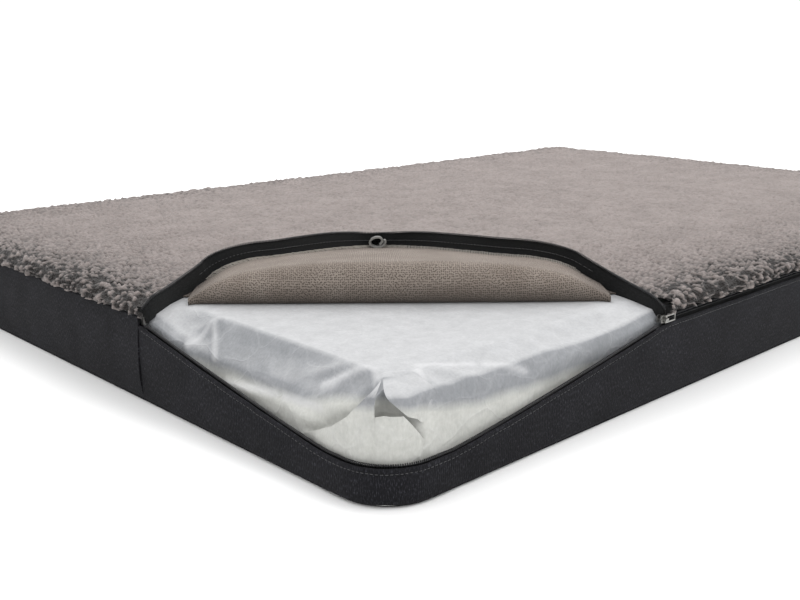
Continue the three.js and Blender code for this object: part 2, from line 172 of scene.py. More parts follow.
def outline(station, inset=0.0):
    """Plan point and outward direction, each (n, 2), at distances round the mat from the near corner."""
    u = np.mod(np.atleast_1d(np.asarray(station, float)), LAP)
    inset = np.broadcast_to(np.asarray(inset, float), u.shape)
    sides = [
        (0, LENGTH, (X0, Y0), (1, 0), NEAR_R),
        (LENGTH, WIDTH, (X1, Y0), (0, 1), FAR_R),
        (LENGTH + WIDTH, LENGTH, (X1, Y1), (-1, 0), FAR_R),
        (LAP - WIDTH, WIDTH, (X0, Y1), (0, -1), FAR_R),
    ]
    point = np.zeros((len(u), 2))
    outward = np.zeros((len(u), 2))
    for start, length, corner, direction, _ in sides:
        on = (u >= start) & (u <= start + length)
        d = np.array(direction, float)
        out = np.array([d[1], -d[0]])
        point[on] = np.array(corner) + np.outer(u[on] - start, d) - inset[on, None] * out
        outward[on] = out
    for start, _, corner, direction, radius in sides:
        past = np.where(u - start > LAP / 2, u - start - LAP, u - start)
        on = np.abs(past) < radius
        d = np.array(direction, float)
        inward = np.array([-d[1], d[0]])
        centre = np.array(corner) + (d + inward) * radius
        turn = (past[on] + radius) / (2 * radius) * (math.pi / 2)
        out = -(np.outer(np.cos(turn), d) + np.outer(np.sin(turn), inward))
        point[on] = centre + out * (radius - inset[on])[:, None]
        outward[on] = out
    return point, outward


def sagging_top(station):
    """Height of the unzipped edge of the band. Beyond the opening it is the zipped band's top."""
    u = np.asarray(station, float)
    share = np.abs(u) / np.where(u < 0, OPEN_LEFT, OPEN_FRONT)
    rise = np.clip((share - SAG_FLAT) / (1 - SAG_FLAT), 0, 1) ** 1.15
    return ZIPPED_BAND_TOP - SAG * (1 - rise)


# ---------------------------------------------------------------- the folded corner
def mouth_coordinates(points):
    """Distance along the opening's line from the left end, and distance past it towards the near corner."""
    relative = points - TIP_LEFT
    return relative @ ALONG, relative @ ACROSS


def roll_shape(along):
    """The roll at each distance along the opening: its radii upwards and across, its turn and its foot.

    It grows more slowly from the front end, where the cloth is slacker."""
    from_tip = np.minimum(along, 0.80 * (MOUTH - along))
    full = sum(np.interp(from_tip + shift, *ROLL_GROWTH) for shift in (-0.006, -0.003, 0, 0.003, 0.006)) / 5
    radius_z = ROLL_THIN + ROLL_RISE * full
    radius_s = ROLL_THIN + ROLL_DEPTH * full
    turn = math.pi * smooth(from_tip / 0.018) + (FOLD_TURN - math.pi) * smooth((from_tip - 0.03) / 0.08)
    foot = -FOLD_BACK * smooth(from_tip / 0.045)
    return radius_z, radius_s, turn, foot


def roll_arc(radius_z, radius_s):
    """Length of the roll's curve for each radian of its turn."""
    return np.sqrt((radius_z**2 + radius_s**2) / 2)


def folded_surface(along, past):
    """Where a point of the backing's underside goes when the flat, closed corner is folded back."""
    radius_z, radius_s, turn, foot = roll_shape(along)
    arc = roll_arc(radius_z, radius_s)
    reach = past - foot
    angle = np.clip(reach / arc, 0, turn)
    beyond = np.maximum(reach - arc * turn, 0)
    across = np.where(reach < 0, past, foot + radius_s * np.sin(angle) + beyond * np.cos(turn))
    up = radius_z * (1 - np.cos(angle)) + beyond * np.sin(turn)
    plan = TIP_LEFT + np.multiply.outer(along, ALONG) + np.multiply.outer(across, ACROSS)
    return np.concatenate([plan, (BACKING_LOW + up)[..., None]], axis=-1)


def fold(along, past, height):
    """A point of the folded corner at a height above the backing's underside when closed.

    The zip's tape hangs below the closed panel, so its heights are negative."""
    along, past, height = np.broadcast_arrays(along, past, height)
    step = 0.0005
    across = folded_surface(along, past + step) - folded_surface(along, past - step)
    onward = folded_surface(along + step, past) - folded_surface(along - step, past)
    normal = unit(np.cross(across, onward))
    return folded_surface(along, past) + normal * height[..., None]


def flap_reach(along):
    """How far behind the opening's line the folded corner lies."""
    edge = np.interp(along, *corner_edge(PANEL_INSET))
    radius_z, radius_s, turn, foot = roll_shape(along)
    return edge - 2 * foot - roll_arc(radius_z, radius_s) * turn


def flap_height(along, across):
    """Height of the folded corner over a point behind the opening's line."""
    radius_z, _, turn, foot = roll_shape(along)
    return BACKING_LOW + radius_z * (1 - np.cos(turn)) + np.maximum(foot - across, 0) * np.sin(turn)


def pile_thickness(along):
    """The pile is squashed thin at the ends of the fold."""
    return 0.0006 + 0.0066 * smooth((np.minimum(along, MOUTH - along) - 0.040) / 0.080)


def corner_edge(inset):
    """The cover's edge round the near corner, as distance past the opening's line for distance along it."""
    stations = np.linspace(-OPEN_LEFT, OPEN_FRONT, 500)
    along, past = flat_edge(stations, inset)
    return along, np.maximum(past, 0)


def flat_edge(station, inset):
    """Flat corner coordinates of the cover's edge at a station."""
    return mouth_coordinates(outline(station, inset)[0])


def lifted(plan, z):
    """Plan points (n, 2) with a height for each, or one height for all, as (n, 3)."""
    level = np.broadcast_to(z, len(plan))
    return np.concatenate([plan, level[:, None]], axis=1)


def band_line(stations, inset, z):
    """Points along the mat's outline at an inset and height, with the way out."""
    plan, out = outline(stations, inset)
    return lifted(plan, z), lifted(out, 0)


def loose_edge(stations):
    """The loose tape on the folded corner: its foot, the way it stands and its height at each station.

    Its foot follows the folded edge, smoothed over 20 mm. At both ends it runs down to the zip and tapers."""
    free = sum(
        fold(*flat_edge(np.clip(stations + shift, -OPEN_LEFT, OPEN_FRONT), PANEL_INSET - 0.0004), 0.0006)
        for shift in (-0.010, -0.005, 0, 0.005, 0.010)
    ) / 5
    from_end = np.minimum(stations + OPEN_LEFT, OPEN_FRONT - stations)
    held = (1 - smooth(from_end / np.where(stations < 0, 0.060, 0.085)))[:, None]
    turned = np.where(stations < 0, -OPEN_LEFT + 0.3 * from_end, OPEN_FRONT - 0.3 * from_end)
    seam = band_line(turned, 0.0040, SEAM_Z - 0.0020)[0]
    foot = free * (1 - held) + seam * held
    lean = -0.10 - 0.12 * line_noise(stations, 0.11, 62)
    up = np.concatenate([np.multiply.outer(lean, ACROSS), np.ones((len(stations), 1))], axis=1)
    forward = unit(np.gradient(foot, axis=0))
    up = unit(up - (up * forward).sum(axis=1, keepdims=True) * forward)
    height = TAPE_H * (1 + 0.07 * line_noise(stations, 0.08, 61))
    grown = smooth(from_end / np.where(stations < 0, 0.026, 0.040) + 0.08)
    return foot, up, height * (0.06 + 0.94 * grown)


# ---------------------------------------------------------------- meshes from grids
def new_object(name, data):
    """An object in the scene for a mesh, a camera or a lamp."""
    made = bpy.data.objects.new(name, data)
    bpy.context.scene.collection.objects.link(made)
    return made


def add_mesh(name, points, faces, uv=None, sharp_angle=None):
    """A smooth mesh object, with its edges left sharp over an angle in degrees if one is given.

    faces is (n, 4), where a triangle repeats its last vertex. uv has one pair for each corner, and is only for
    faces that are all quads."""
    mesh = bpy.data.meshes.new(name)
    mesh.from_pydata(points.tolist(), [], [f[:3] if f[2] == f[3] else f for f in faces.tolist()])
    if uv is not None:
        layer = mesh.uv_layers.new(name="weave")
        layer.data.foreach_set("uv", uv.astype(np.float32).ravel())
    mesh.polygons.foreach_set("use_smooth", np.full(len(mesh.polygons), True))
    mesh.update()
    if sharp_angle:
        mesh.set_sharp_from_angle(angle=math.radians(sharp_angle))
    return new_object(name, mesh)


def vertex_values(piece, attribute, values):
    """Store a number at each vertex for the materials to read."""
    layer = piece.data.attributes.new(attribute, "FLOAT", "POINT")
    layer.data.foreach_set("value", values.astype(np.float32))


def grid_quads(rows, cols, wrap=False):
    """Quads of a grid whose vertex (r, c) is r * cols + c, and each quad's (row, column)."""
    r, c = np.meshgrid(np.arange(rows - 1), np.arange(cols if wrap else cols - 1), indexing="ij")
    r, c = r.ravel(), c.ravel()
    right = (c + 1) % cols
    quads = np.stack([r * cols + c, r * cols + right, (r + 1) * cols + right, (r + 1) * cols + c], axis=1)
    return quads, r, c


def part_of_grid(name, grid, quads, attribute, values):
    """A mesh of some quads of a grid of points, with a number at each vertex."""
    used, new_index = np.unique(quads, return_inverse=True)
    piece = add_mesh(name, grid.reshape(-1, 3)[used], new_index.reshape(-1, 4))
    vertex_values(piece, attribute, values.reshape(-1)[used])
    return piece


def upright_grid(plan, z):
    """Points over plan points (n, 2), in rows at the heights z, which is (rows, 1) or (rows, n)."""
    shape = (len(z), len(plan))
    return np.concatenate([np.broadcast_to(plan, (*shape, 2)), np.broadcast_to(z, shape)[..., None]], axis=-1)


def weave_uv(first, second):
    """Texture coordinates of a grid, from two arrays that broadcast to it."""
    return np.stack(np.broadcast_arrays(first, second), axis=-1)


def rims(grid):
    """The four edges of a grid, in the order and directions that its walls are built in."""
    return grid[0], grid[-1][::-1], grid[::-1, 0], grid[:, -1]


def cloth(name, grid, thickness, uv, flip=False):
    """A closed sheet of even thickness from a grid of points on its outer face. Its faces point out."""
    rows, cols = grid.shape[:2]
    normal = unit(np.cross(np.gradient(grid, axis=1), np.gradient(grid, axis=0)))
    inner = grid - (-normal if flip else normal) * thickness
    quads, r, c = grid_quads(rows, cols)
    uvs = np.stack([uv[r, c], uv[r, c + 1], uv[r + 1, c + 1], uv[r + 1, c]], axis=1)
    if flip:
        quads, uvs = quads[:, ::-1], uvs[:, ::-1]
    count = rows * cols
    faces = [quads, quads[:, ::-1] + count]
    face_uvs = [uvs, uvs[:, ::-1]]
    index = np.arange(count).reshape(rows, cols)
    for rim, rim_uv in zip(rims(index), rims(uv)):
        a, b = rim[:-1], rim[1:]
        strip = np.stack([b, a, a + count, b + count], axis=1)
        strip_uv = np.stack([rim_uv[1:], rim_uv[:-1], rim_uv[:-1], rim_uv[1:]], axis=1)
        faces.append(strip[:, ::-1] if flip else strip)
        face_uvs.append(strip_uv[:, ::-1] if flip else strip_uv)
    points = np.concatenate([grid.reshape(-1, 3), inner.reshape(-1, 3)])
    return add_mesh(name, points, np.concatenate(faces), np.concatenate(face_uvs), sharp_angle=50)


def tube_points(path, radius, sides):
    """Rings round a path. Returns (n, sides, 3)."""
    tangent = unit(np.gradient(path, axis=0))
    across = unit(np.cross(tangent, np.array([0, 0, 1.0])))
    rise = np.cross(across, tangent)
    turn = np.arange(sides) * 2 * math.pi / sides
    ring = np.cos(turn)[None, :, None] * across[:, None] + np.sin(turn)[None, :, None] * rise[:, None]
    return path[:, None] + radius * ring


def tubes(name, paths, radius, sides):
    """Many closed tubes in one mesh, along paths of points."""
    points = []
    faces = []
    start = 0
    for path in paths:
        rings = tube_points(path, radius, sides)
        quads = grid_quads(len(path), sides, True)[0] + start
        first = start + np.arange(sides)
        last = first + (len(path) - 1) * sides
        faces.append(quads)
        for cap in (first[::-1], last):
            for i in range(1, sides - 1):
                faces.append(np.array([[cap[0], cap[i], cap[i + 1], cap[i + 1]]]))
        points.append(rings.reshape(-1, 3))
        start += len(path) * sides
    return add_mesh(name, np.concatenate(points), np.concatenate(faces))


def wear(piece, material):
    piece.data.materials.clear()
    piece.data.materials.append(material)


def finish_piece(piece, material, body, slot, *replaced):
    """Give a piece its material and, unless it is blended, its body, and hide the solids it stands for. slot
    is not used.
    """
    wear(piece, material)
    if body:
        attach(piece, body)
    if replaced:
        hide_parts(*replaced)
    return piece


# ---------------------------------------------------------------- materials
class Finish:
    """A material whose nodes are added one by one. colour and bump join them to its shader."""

    def __init__(self, name, roughness, **shader_values):
        self.material = bpy.data.materials.new(name)
        self.material.use_nodes = True
        self.tree = self.material.node_tree
        self.shader = self.tree.nodes["Principled BSDF"]
        self.set(self.shader, {"Roughness": roughness})
        self.set(self.shader, {key.replace("_", " "): value for key, value in shader_values.items()})

    def set(self, node, inputs):
        for key, value in inputs.items():
            if isinstance(value, bpy.types.NodeSocket):
                self.tree.links.new(value, node.inputs[key])
            else:
                node.inputs[key].default_value = value

    def add(self, kind, inputs, output=0, **settings):
        node = self.tree.nodes.new("ShaderNode" + kind)
        for key, value in settings.items():
            setattr(node, key, value)
        self.set(node, inputs)
        return node.outputs[output]

    def place(self):
        return self.add("TexCoord", {}, "Object")

    def weave(self):
        return self.add("UVMap", {}, uv_map="weave")

    def scaled(self, vector, scale, turn=0.0):
        return self.add("Mapping", {"Vector": vector, "Scale": scale, "Rotation": (0, 0, turn)})

    def noise(self, vector, scale, detail=3.0, rough=0.55):
        return self.add("TexNoise", {"Vector": vector, "Scale": scale, "Detail": detail, "Roughness": rough})

    def cells(self, vector, scale, randomness=1.0, **settings):
        inputs = {"Vector": vector, "Scale": scale, "Randomness": randomness}
        return self.add("TexVoronoi", inputs, "Distance", **settings)

    def bands(self, vector, scale, distortion, direction="X"):
        inputs = {"Vector": vector, "Scale": scale, "Distortion": distortion}
        return self.add("TexWave", inputs, "Fac", bands_direction=direction)

    def upward(self, vector):
        return self.add("SeparateXYZ", {"Vector": vector}, 2)

    def map_range(self, value, low, high, to_low, to_high):
        inputs = {"Value": value, "From Min": low, "From Max": high, "To Min": to_low, "To Max": to_high}
        return self.add("MapRange", inputs)

    def ramp(self, factor, stops):
        node = self.tree.nodes.new("ShaderNodeValToRGB")
        self.set(node, {"Fac": factor})
        elements = node.color_ramp.elements
        while len(elements) < len(stops):
            elements.new(0.5)
        for element, (position, colour) in zip(elements, stops):
            element.position = position
            element.color = (*colour, 1) if isinstance(colour, tuple) else (colour, colour, colour, 1)
        return node.outputs[0]

    def mix(self, factor, first, second, blend="MIX"):
        node = self.tree.nodes.new("ShaderNodeMix")
        node.data_type = "RGBA"
        node.blend_type = blend
        colours = [(*c, 1) if isinstance(c, tuple) and len(c) == 3 else c for c in (first, second)]
        for socket, value in zip([node.inputs[0], node.inputs[6], node.inputs[7]], [factor, *colours]):
            if isinstance(value, bpy.types.NodeSocket):
                self.tree.links.new(value, socket)
            else:
                socket.default_value = value
        return node.outputs[2]

    def times(self, first, second):
        return self.mix(1.0, first, second, "MULTIPLY")

    def maths(self, operation, first, second):
        return self.add("Math", {0: first, 1: second}, operation=operation)

    def colour(self, value):
        self.set(self.shader, {"Base Color": value})

    def bump(self, height, distance, strength=1.0):
        inputs = {"Height": height, "Distance": distance, "Strength": strength}
        previous = self.shader.inputs["Normal"].links
        if previous:
            inputs["Normal"] = previous[0].from_socket
        self.set(self.shader, {"Normal": self.add("Bump", inputs)})


def sherpa_material():
    m = Finish("sherpa_pile", 0.95, Sheen_Weight=0.18, Sheen_Roughness=0.5, Specular_IOR_Level=0.1)
    gap = m.add("Attribute", {}, "Fac", attribute_name="tuft")
    place = m.place()
    blotch = m.noise(place, 22, 3)
    fibre = m.noise(place, 900, 3, 0.7)
    base = m.ramp(blotch, [(0.35, (0.206, 0.176, 0.165)), (0.65, (0.248, 0.213, 0.201))])
    shade = m.ramp(gap, [(0.0, 0.09), (0.30, 0.58), (0.70, 1.0)])
    hairy = m.ramp(fibre, [(0.3, 0.80), (0.7, 1.08)])
    m.colour(m.times(m.times(base, shade), hairy))
    m.bump(fibre, 0.0012, 0.7)
    m.bump(m.cells(place, 420), 0.0012, 0.6)
    return m.material


def knit_material():
    m = Finish("knit_backing", 0.95, Sheen_Weight=0.08, Specular_IOR_Level=0.1)
    weave = m.weave()
    place = m.place()
    holes = m.cells(weave, 600, 0.50, voronoi_dimensions="2D")
    hole = m.ramp(holes, [(0.14, 0.0), (0.40, 1.0)])
    yarn = m.noise(m.scaled(weave, (1, 0.35, 1)), 2600, 2)
    cloudy = m.noise(place, 35, 3)
    base = m.ramp(cloudy, [(0.35, (0.215, 0.180, 0.154)), (0.65, (0.262, 0.224, 0.194))])
    base = m.times(base, m.ramp(yarn, [(0.3, 0.84), (0.7, 1.1)]))
    # Painted contact shade: the knit is darkened towards the bottom of the roll, where it meets the liner.
    tucked = m.map_range(m.upward(place), 0.079, 0.098, 0.50, 1.0)
    m.colour(m.times(m.mix(hole, (0.070, 0.056, 0.048), base), tucked))
    m.bump(hole, 0.0007, 0.8)
    m.bump(yarn, 0.0003, 0.6)
    return m.material


def band_material():
    m = Finish("band_fabric", 0.92, Sheen_Weight=0.02, Specular_IOR_Level=0.12)
    weave = m.weave()
    ripple = {"Scale": 160, "Distortion": 2.2, "Detail": 2, "Detail Scale": 6}
    ribs = m.add("TexWave", {"Vector": weave, **ripple}, "Fac")
    flecks = m.noise(m.scaled(weave, (1, 0.28, 1)), 1300, 3, 0.6)
    cloudy = m.noise(m.place(), 28, 3)
    base = m.ramp(cloudy, [(0.3, (0.0080, 0.0080, 0.0096)), (0.7, (0.0120, 0.0120, 0.0145))])
    thread = m.ramp(flecks, [(0.42, 0.60), (0.56, 1.0), (0.66, 3.2)])
    m.colour(m.times(base, thread))
    m.bump(ribs, 0.0003, 0.5)
    m.bump(flecks, 0.0005, 0.6)
    return m.material


def tape_material():
    m = Finish("zip_tape", 0.85, Sheen_Weight=0.02, Specular_IOR_Level=0.15)
    weave = m.weave()
    twill = m.bands(m.scaled(weave, (1, 1, 1), 0.9), 380, 0.6)
    lint = m.noise(weave, 700, 3)
    m.colour(m.mix(m.ramp(lint, [(0.45, 0.0), (0.75, 1.0)]), (0.0075, 0.0080, 0.0080), (0.018, 0.018, 0.019)))
    m.bump(twill, 0.0003, 0.6)
    return m.material


def coil_material():
    m = Finish("zip_coil", 0.38, Specular_IOR_Level=0.45)
    worn = m.noise(m.place(), 240, 2)
    m.colour(m.ramp(worn, [(0.35, (0.007, 0.007, 0.008)), (0.7, (0.018, 0.018, 0.020))]))
    m.bump(worn, 0.0001, 0.4)
    return m.material


def metal_material():
    m = Finish("zip_metal", 0.36, Metallic=1.0)
    place = m.place()
    scuffs = m.noise(place, 900, 4, 0.7)
    stain = m.noise(place, 160, 2)
    m.colour(m.ramp(stain, [(0.35, (0.20, 0.195, 0.185)), (0.7, (0.40, 0.395, 0.375))]))
    m.set(m.shader, {"Roughness": m.ramp(scuffs, [(0.3, 0.28), (0.7, 0.52)])})
    m.bump(scuffs, 0.0001, 0.5)
    return m.material


def thread_material():
    m = Finish("overlock_thread", 0.75, Sheen_Weight=0.3, Specular_IOR_Level=0.3)
    twist = m.bands(m.place(), 900, 1.5, "DIAGONAL")
    m.colour(m.mix(twist, (0.24, 0.215, 0.185), (0.42, 0.39, 0.345)))
    m.bump(twist, 0.0002, 0.6)
    return m.material


def stitch_material():
    m = Finish("band_stitch", 0.6, Sheen_Weight=0.2)
    twist = m.bands(m.place(), 1100, 1.0, "DIAGONAL")
    m.colour(m.mix(twist, (0.014, 0.014, 0.015), (0.034, 0.034, 0.037)))
    m.bump(twist, 0.0001, 0.5)
    return m.material


def ribbon_material():
    m = Finish("label_ribbon", 0.55, Sheen_Weight=0.3)
    weave = m.weave()
    ribs = m.bands(weave, 700, 0.4, "Y")
    worn = m.noise(weave, 300, 3)
    m.colour(m.mix(worn, (0.130, 0.126, 0.118), (0.230, 0.225, 0.212)))
    m.bump(ribs, 0.0002, 0.6)
    return m.material


def liner_material():
    """Thin white non-woven. Painted shade greys it where it faces sideways or down, painted highlights whiten
    its folds and crease ridges, and low down the cream foam shows through.
    """
    m = Finish("liner_nonwoven", 0.62, Specular_IOR_Level=0.3, Sheen_Weight=0.1)
    place = m.place()
    height = m.upward(place)
    facing_up = m.upward(m.add("NewGeometry", {}, "Normal"))
    cloudy = m.noise(place, 11, 2, 0.5)
    level = m.maths("ADD", height, m.maths("MULTIPLY", m.maths("SUBTRACT", cloudy, 0.5), 0.018))
    parcel = (X0 + 0.02, Y0 + 0.02, 0.05)
    from_corner = m.add("VectorMath", {0: place, 1: parcel}, "Value", operation="DISTANCE")
    lowered = m.map_range(from_corner, 0.02, 0.08, 0.017, 0)
    foam_edge = m.map_range(m.maths("SUBTRACT", level, lowered), 0.0445, 0.0525, 0.0, 1.0)
    fibres = m.noise(m.scaled(place, (1, 1, 0.5)), 500, 4, 0.65)
    white = m.ramp(fibres, [(0.3, (0.340, 0.343, 0.351)), (0.7, (0.394, 0.397, 0.404))])
    # Painted shade: a grey copy of the white, used where the liner faces sideways or down.
    painted_side_shade = m.ramp(fibres, [(0.3, (0.190, 0.198, 0.210)), (0.7, (0.238, 0.246, 0.258))])
    cream = m.ramp(fibres, [(0.3, (0.420, 0.422, 0.396)), (0.7, (0.490, 0.492, 0.465))])
    upper = m.mix(m.ramp(facing_up, [(0.62, 0.0), (0.97, 1.0)]), painted_side_shade, white)
    cells = m.add("Mapping", {"Vector": place, "Scale": (1, 1, 1.3), "Rotation": (0.3, 0.2, 0.5)})
    folds = m.cells(m.mix(0.06, cells, m.noise(place, 20, 2)), 26, feature="DISTANCE_TO_EDGE")
    ridge = m.ramp(folds, [(0.0, 1.0), (0.05, 0.35), (0.22, 0.0)])
    fine = m.cells(place, 70, feature="DISTANCE_TO_EDGE")
    crinkle = m.ramp(fine, [(0.0, 1.0), (0.12, 0.0)])
    blotches = m.ramp(m.noise(place, 75, 4, 0.7), [(0.35, 0.91), (0.65, 1.04)])
    cloth_colour = m.times(m.mix(foam_edge, cream, upper), blotches)
    # Painted highlight: the crease ridges of the cells are mixed slightly towards pale grey.
    creased = m.mix(m.maths("MULTIPLY", ridge, 0.10), cloth_colour, (0.56, 0.56, 0.57))
    # Painted highlight: along the sharp folds the colour is mixed halfway to pale grey.
    painted_fold_highlight = m.add("Attribute", {}, "Fac", attribute_name="painted_fold_highlight")
    m.colour(m.mix(m.maths("MULTIPLY", painted_fold_highlight, 0.50), creased, (0.52, 0.52, 0.53)))
    m.bump(fibres, 0.0004, 0.5)
    m.bump(ridge, 0.0014, 0.25)
    m.bump(crinkle, 0.0006, 0.15)
    return m.material


def foam_material(name, dark, light):
    m = Finish(name, 1.0, Specular_IOR_Level=0.1)
    pores = m.cells(m.place(), 700)
    m.colour(m.mix(m.ramp(pores, [(0.1, 0.0), (0.5, 1.0)]), dark, light))
    m.bump(pores, 0.0006, 0.8)
    return m.material


def floor_material():
    m = Finish("floor", 0.9, Specular_IOR_Level=0.1)
    m.colour(m.ramp(m.noise(m.place(), 3, 2), [(0.3, 0.80), (0.7, 0.82)]))
    return m.material


SHERPA = sherpa_material()
KNIT = knit_material()
BAND = band_material()
TAPE = tape_material()
COIL = coil_material()
METAL = metal_material()
THREAD = thread_material()
STITCH = stitch_material()
RIBBON = ribbon_material()
LINER = liner_material()
FOAM_WHITE = foam_material("foam_white", (0.38, 0.38, 0.37), (0.50, 0.50, 0.49))
FOAM_CREAM = foam_material("foam_cream", (0.38, 0.36, 0.26), (0.50, 0.48, 0.37))


# ---------------------------------------------------------------- camera, stage and light
def camera():
    """A view over the near corner. It looks down_tilt degrees below level, heading from +X towards +Y."""
    down_tilt = 14.73
    heading = 46.28
    data = bpy.data.cameras.new("camera")
    data.lens = 45.1
    data.sensor_width = 36
    data.clip_start = 0.02
    view = new_object("camera", data)
    view.location = (-0.987, -0.819, 0.293)
    view.rotation_euler = (math.radians(90 - down_tilt), 0, math.radians(heading - 90))
    bpy.context.scene.camera = view


def stage():
    half = 12.0
    points = np.array([[-half, -half, 0], [half, -half, 0], [half, half, 0], [-half, half, 0]])
    floor = add_mesh("floor", points, np.array([[0, 1, 2, 3]]))
    floor.data.materials.append(floor_material())


def area_light(name, place, aim, size, power):
    data = bpy.data.lights.new(name, "AREA")
    data.shape = "DISK"
    data.size = size
    data.energy = power
    lamp = new_object(name, data)
    lamp.location = place
    direction = np.array(aim) - np.array(place)
    tilt = math.acos(-direction[2] / np.linalg.norm(direction))
    lamp.rotation_euler = (tilt, 0, math.atan2(direction[1], direction[0]) - math.pi / 2)


def lights():
    """A bright even studio, brightest overhead, with two large soft lamps."""
    world = bpy.data.worlds.new("studio")
    world.use_nodes = True
    nodes = world.node_tree.nodes
    links = world.node_tree.links
    direction = nodes.new("ShaderNodeTexCoord").outputs["Generated"]
    split = nodes.new("ShaderNodeSeparateXYZ")
    ramp = nodes.new("ShaderNodeValToRGB")
    ramp.color_ramp.elements[0].color = (0.62, 0.62, 0.62, 1)
    ramp.color_ramp.elements[1].color = (1, 1, 1, 1)
    ramp.color_ramp.elements[0].position = 0.12
    links.new(direction, split.inputs[0])
    links.new(split.outputs["Z"], ramp.inputs["Fac"])
    links.new(ramp.outputs["Color"], nodes["Background"].inputs["Color"])
    nodes["Background"].inputs["Strength"].default_value = 1.75
    bpy.context.scene.world = world
    bpy.context.scene.view_settings.view_transform = "Standard"
    area_light("key", (0.6, -1.5, 2.2), (-0.2, -0.1, 0), 1.2, 14)
    area_light("back", (0.4, 1.2, 2.4), (0, 0, 0), 1.6, 22)


# ---------------------------------------------------------------- sherpa pile
def graded(low, high, fine, coarse, fine_until):
    """Grid lines from low to high: fine spacing up to fine_until, then widening to coarse."""
    lines = [low]
    step = fine
    while lines[-1] < high:
        if lines[-1] > fine_until:
            step = min(step * 1.02, coarse)
        lines.append(lines[-1] + step)
    lines[-1] = high
    return np.array(lines)


def past_the_edge(x, y, inset, radius):
    """For flat points, how far each is past a rounded rectangle, the nearest point of it, and the way out."""
    cx = np.clip(x, X0 + inset + radius, X1 - inset - radius)
    cy = np.clip(y, Y0 + inset + radius, Y1 - inset - radius)
    dx, dy = x - cx, y - cy
    far = np.hypot(dx, dy)
    past = np.maximum(far - radius, 0)
    safe = np.maximum(far, 1e-9)
    dx, dy = dx / safe, dy / safe
    return past, x - dx * past, y - dy * past, dx, dy


def edge_distance(x, y):
    return np.minimum.reduce([x - X0, X1 - x, y - Y0, Y1 - y])


def panel_pile():
    """The sherpa top that stays on the mat. It stands over the band's edge all round, and ends at the fold.

    Towards the opening's ends it ends at the loose tape's foot instead."""
    roll_over = 0.0100
    drop = 0.0062
    overhang = 0.0030
    clear_of_flap = 0.0025
    clear_of_fold = 0.004
    clear_of_tape = 0.002
    tape_reach = 0.052
    inset = roll_over - overhang
    wrap = roll_over * math.radians(104)
    reach = wrap - inset
    x_lines = graded(X0 - reach, X1 + reach, 0.0015, 0.0033, X0 + 0.19)
    y_lines = graded(Y0 - reach, Y1 + reach, 0.0015, 0.0033, Y0 + 0.13)
    x, y = np.meshgrid(x_lines, y_lines)
    past, px, py, dx, dy = past_the_edge(x, y, inset, 0.022)
    angle = past / roll_over
    inside = np.maximum(edge_distance(x, y), 0)
    loft = 0.0012 * soft_noise(x, y, 0.17, 3) + 0.0007 * soft_noise(x, y, 0.055, 4)
    loft += 0.0015 - 0.0040 * np.exp(-inside / 0.035)
    from_near = np.hypot(x - X0, y - Y0)
    worn = np.exp(-np.maximum(inside - 0.012, 0) / 0.045)
    worn *= 0.35 + 0.65 * np.exp(-np.maximum(from_near - 0.45, 0) / 0.20)
    curls = smooth((creased_noise(x, y, CURL * 1.15, 13) - 0.45) / 0.5)
    tuft = tufts(x, y, CURL, 11) * (1 - 0.55 * worn) + 0.55 * worn * curls
    lump = tufts(x, y, CURL * 3.1, 17)
    rise = (0.0034 + 0.0036 * worn) * (tuft - 0.45) + 0.0016 * (lump - 0.5)
    # This deepens the painted shade in the gaps between tufts, most where worn is high, near the near edges.
    tuft = 1 - (1 - tuft) * (0.60 + 1.6 * worn)
    out = roll_over * np.sin(angle) + rise * np.sin(angle)
    z = PILE_TOP - 0.0010 + loft - drop * (1 - np.cos(angle)) + rise * np.cos(angle)
    along, across = mouth_coordinates(np.stack([x, y], axis=-1).reshape(-1, 2))
    from_tip = np.minimum(along, MOUTH - along)
    under_flap = ((from_tip > 0.002) & (-across < flap_reach(along))).reshape(x.shape)
    lid = (flap_height(along, across) - pile_thickness(along) - clear_of_flap).reshape(x.shape)
    z = np.where(under_flap & (across.reshape(x.shape) < 0), np.minimum(z, np.maximum(lid, BACKING_HIGH)), z)
    points = np.stack([px + dx * out, py + dy * out, z], axis=-1)
    cut = roll_shape(along)[3] - clear_of_fold
    stations = np.concatenate([np.linspace(-OPEN_LEFT, -0.1, 60), np.linspace(0.1, OPEN_FRONT, 60)])
    foot = mouth_coordinates(loose_edge(stations)[0][:, :2])
    cut = np.where(from_tip < tape_reach, np.minimum(cut, np.interp(along, *foot) - clear_of_tape), cut)
    gone = ((from_tip > 0) & (across > cut)).reshape(x.shape) | (past > wrap + 0.0005)
    pieces = []
    middle = int(np.searchsorted(x_lines, X0 + 0.52))
    halves = (("sherpa_near_half", slice(0, middle + 1)), ("sherpa_far_half", slice(middle, None)))
    for name, columns in halves:
        part = points[:, columns]
        rows, cols = part.shape[:2]
        quads, r, c = grid_quads(rows, cols)
        lost = gone[:, columns]
        keep = ~(lost[r, c] | lost[r, c + 1] | lost[r + 1, c + 1] | lost[r + 1, c])
        pieces.append(part_of_grid(name, part, quads[keep], "tuft", tuft[:, columns]))
    finish_piece(pieces[0], SHERPA, "cover_and_core", "sherpa_pile", "top_panel_sherpa_pile")
    finish_piece(pieces[1], SHERPA, "cover_and_core", "sherpa_pile")
    return pieces


def fold_rows(along, inset, start):
    """Distances past the opening's line for a grid over the folded corner: flat, on the roll, on the flap."""
    edge = np.interp(along, *corner_edge(inset))
    radius_z, radius_s, turn, foot = roll_shape(along)
    roll_end = foot + np.minimum(roll_arc(radius_z, radius_s) * turn, 0.7 * (edge - foot))
    flat = np.linspace(0, 1, 7)[:-1, None] * (foot - start) + start
    roll = np.linspace(0, 1, 33)[:-1, None] * (roll_end - foot) + foot
    flap = np.linspace(0, 1, 61)[:, None] * (edge - roll_end) + roll_end
    return flat, roll, flap


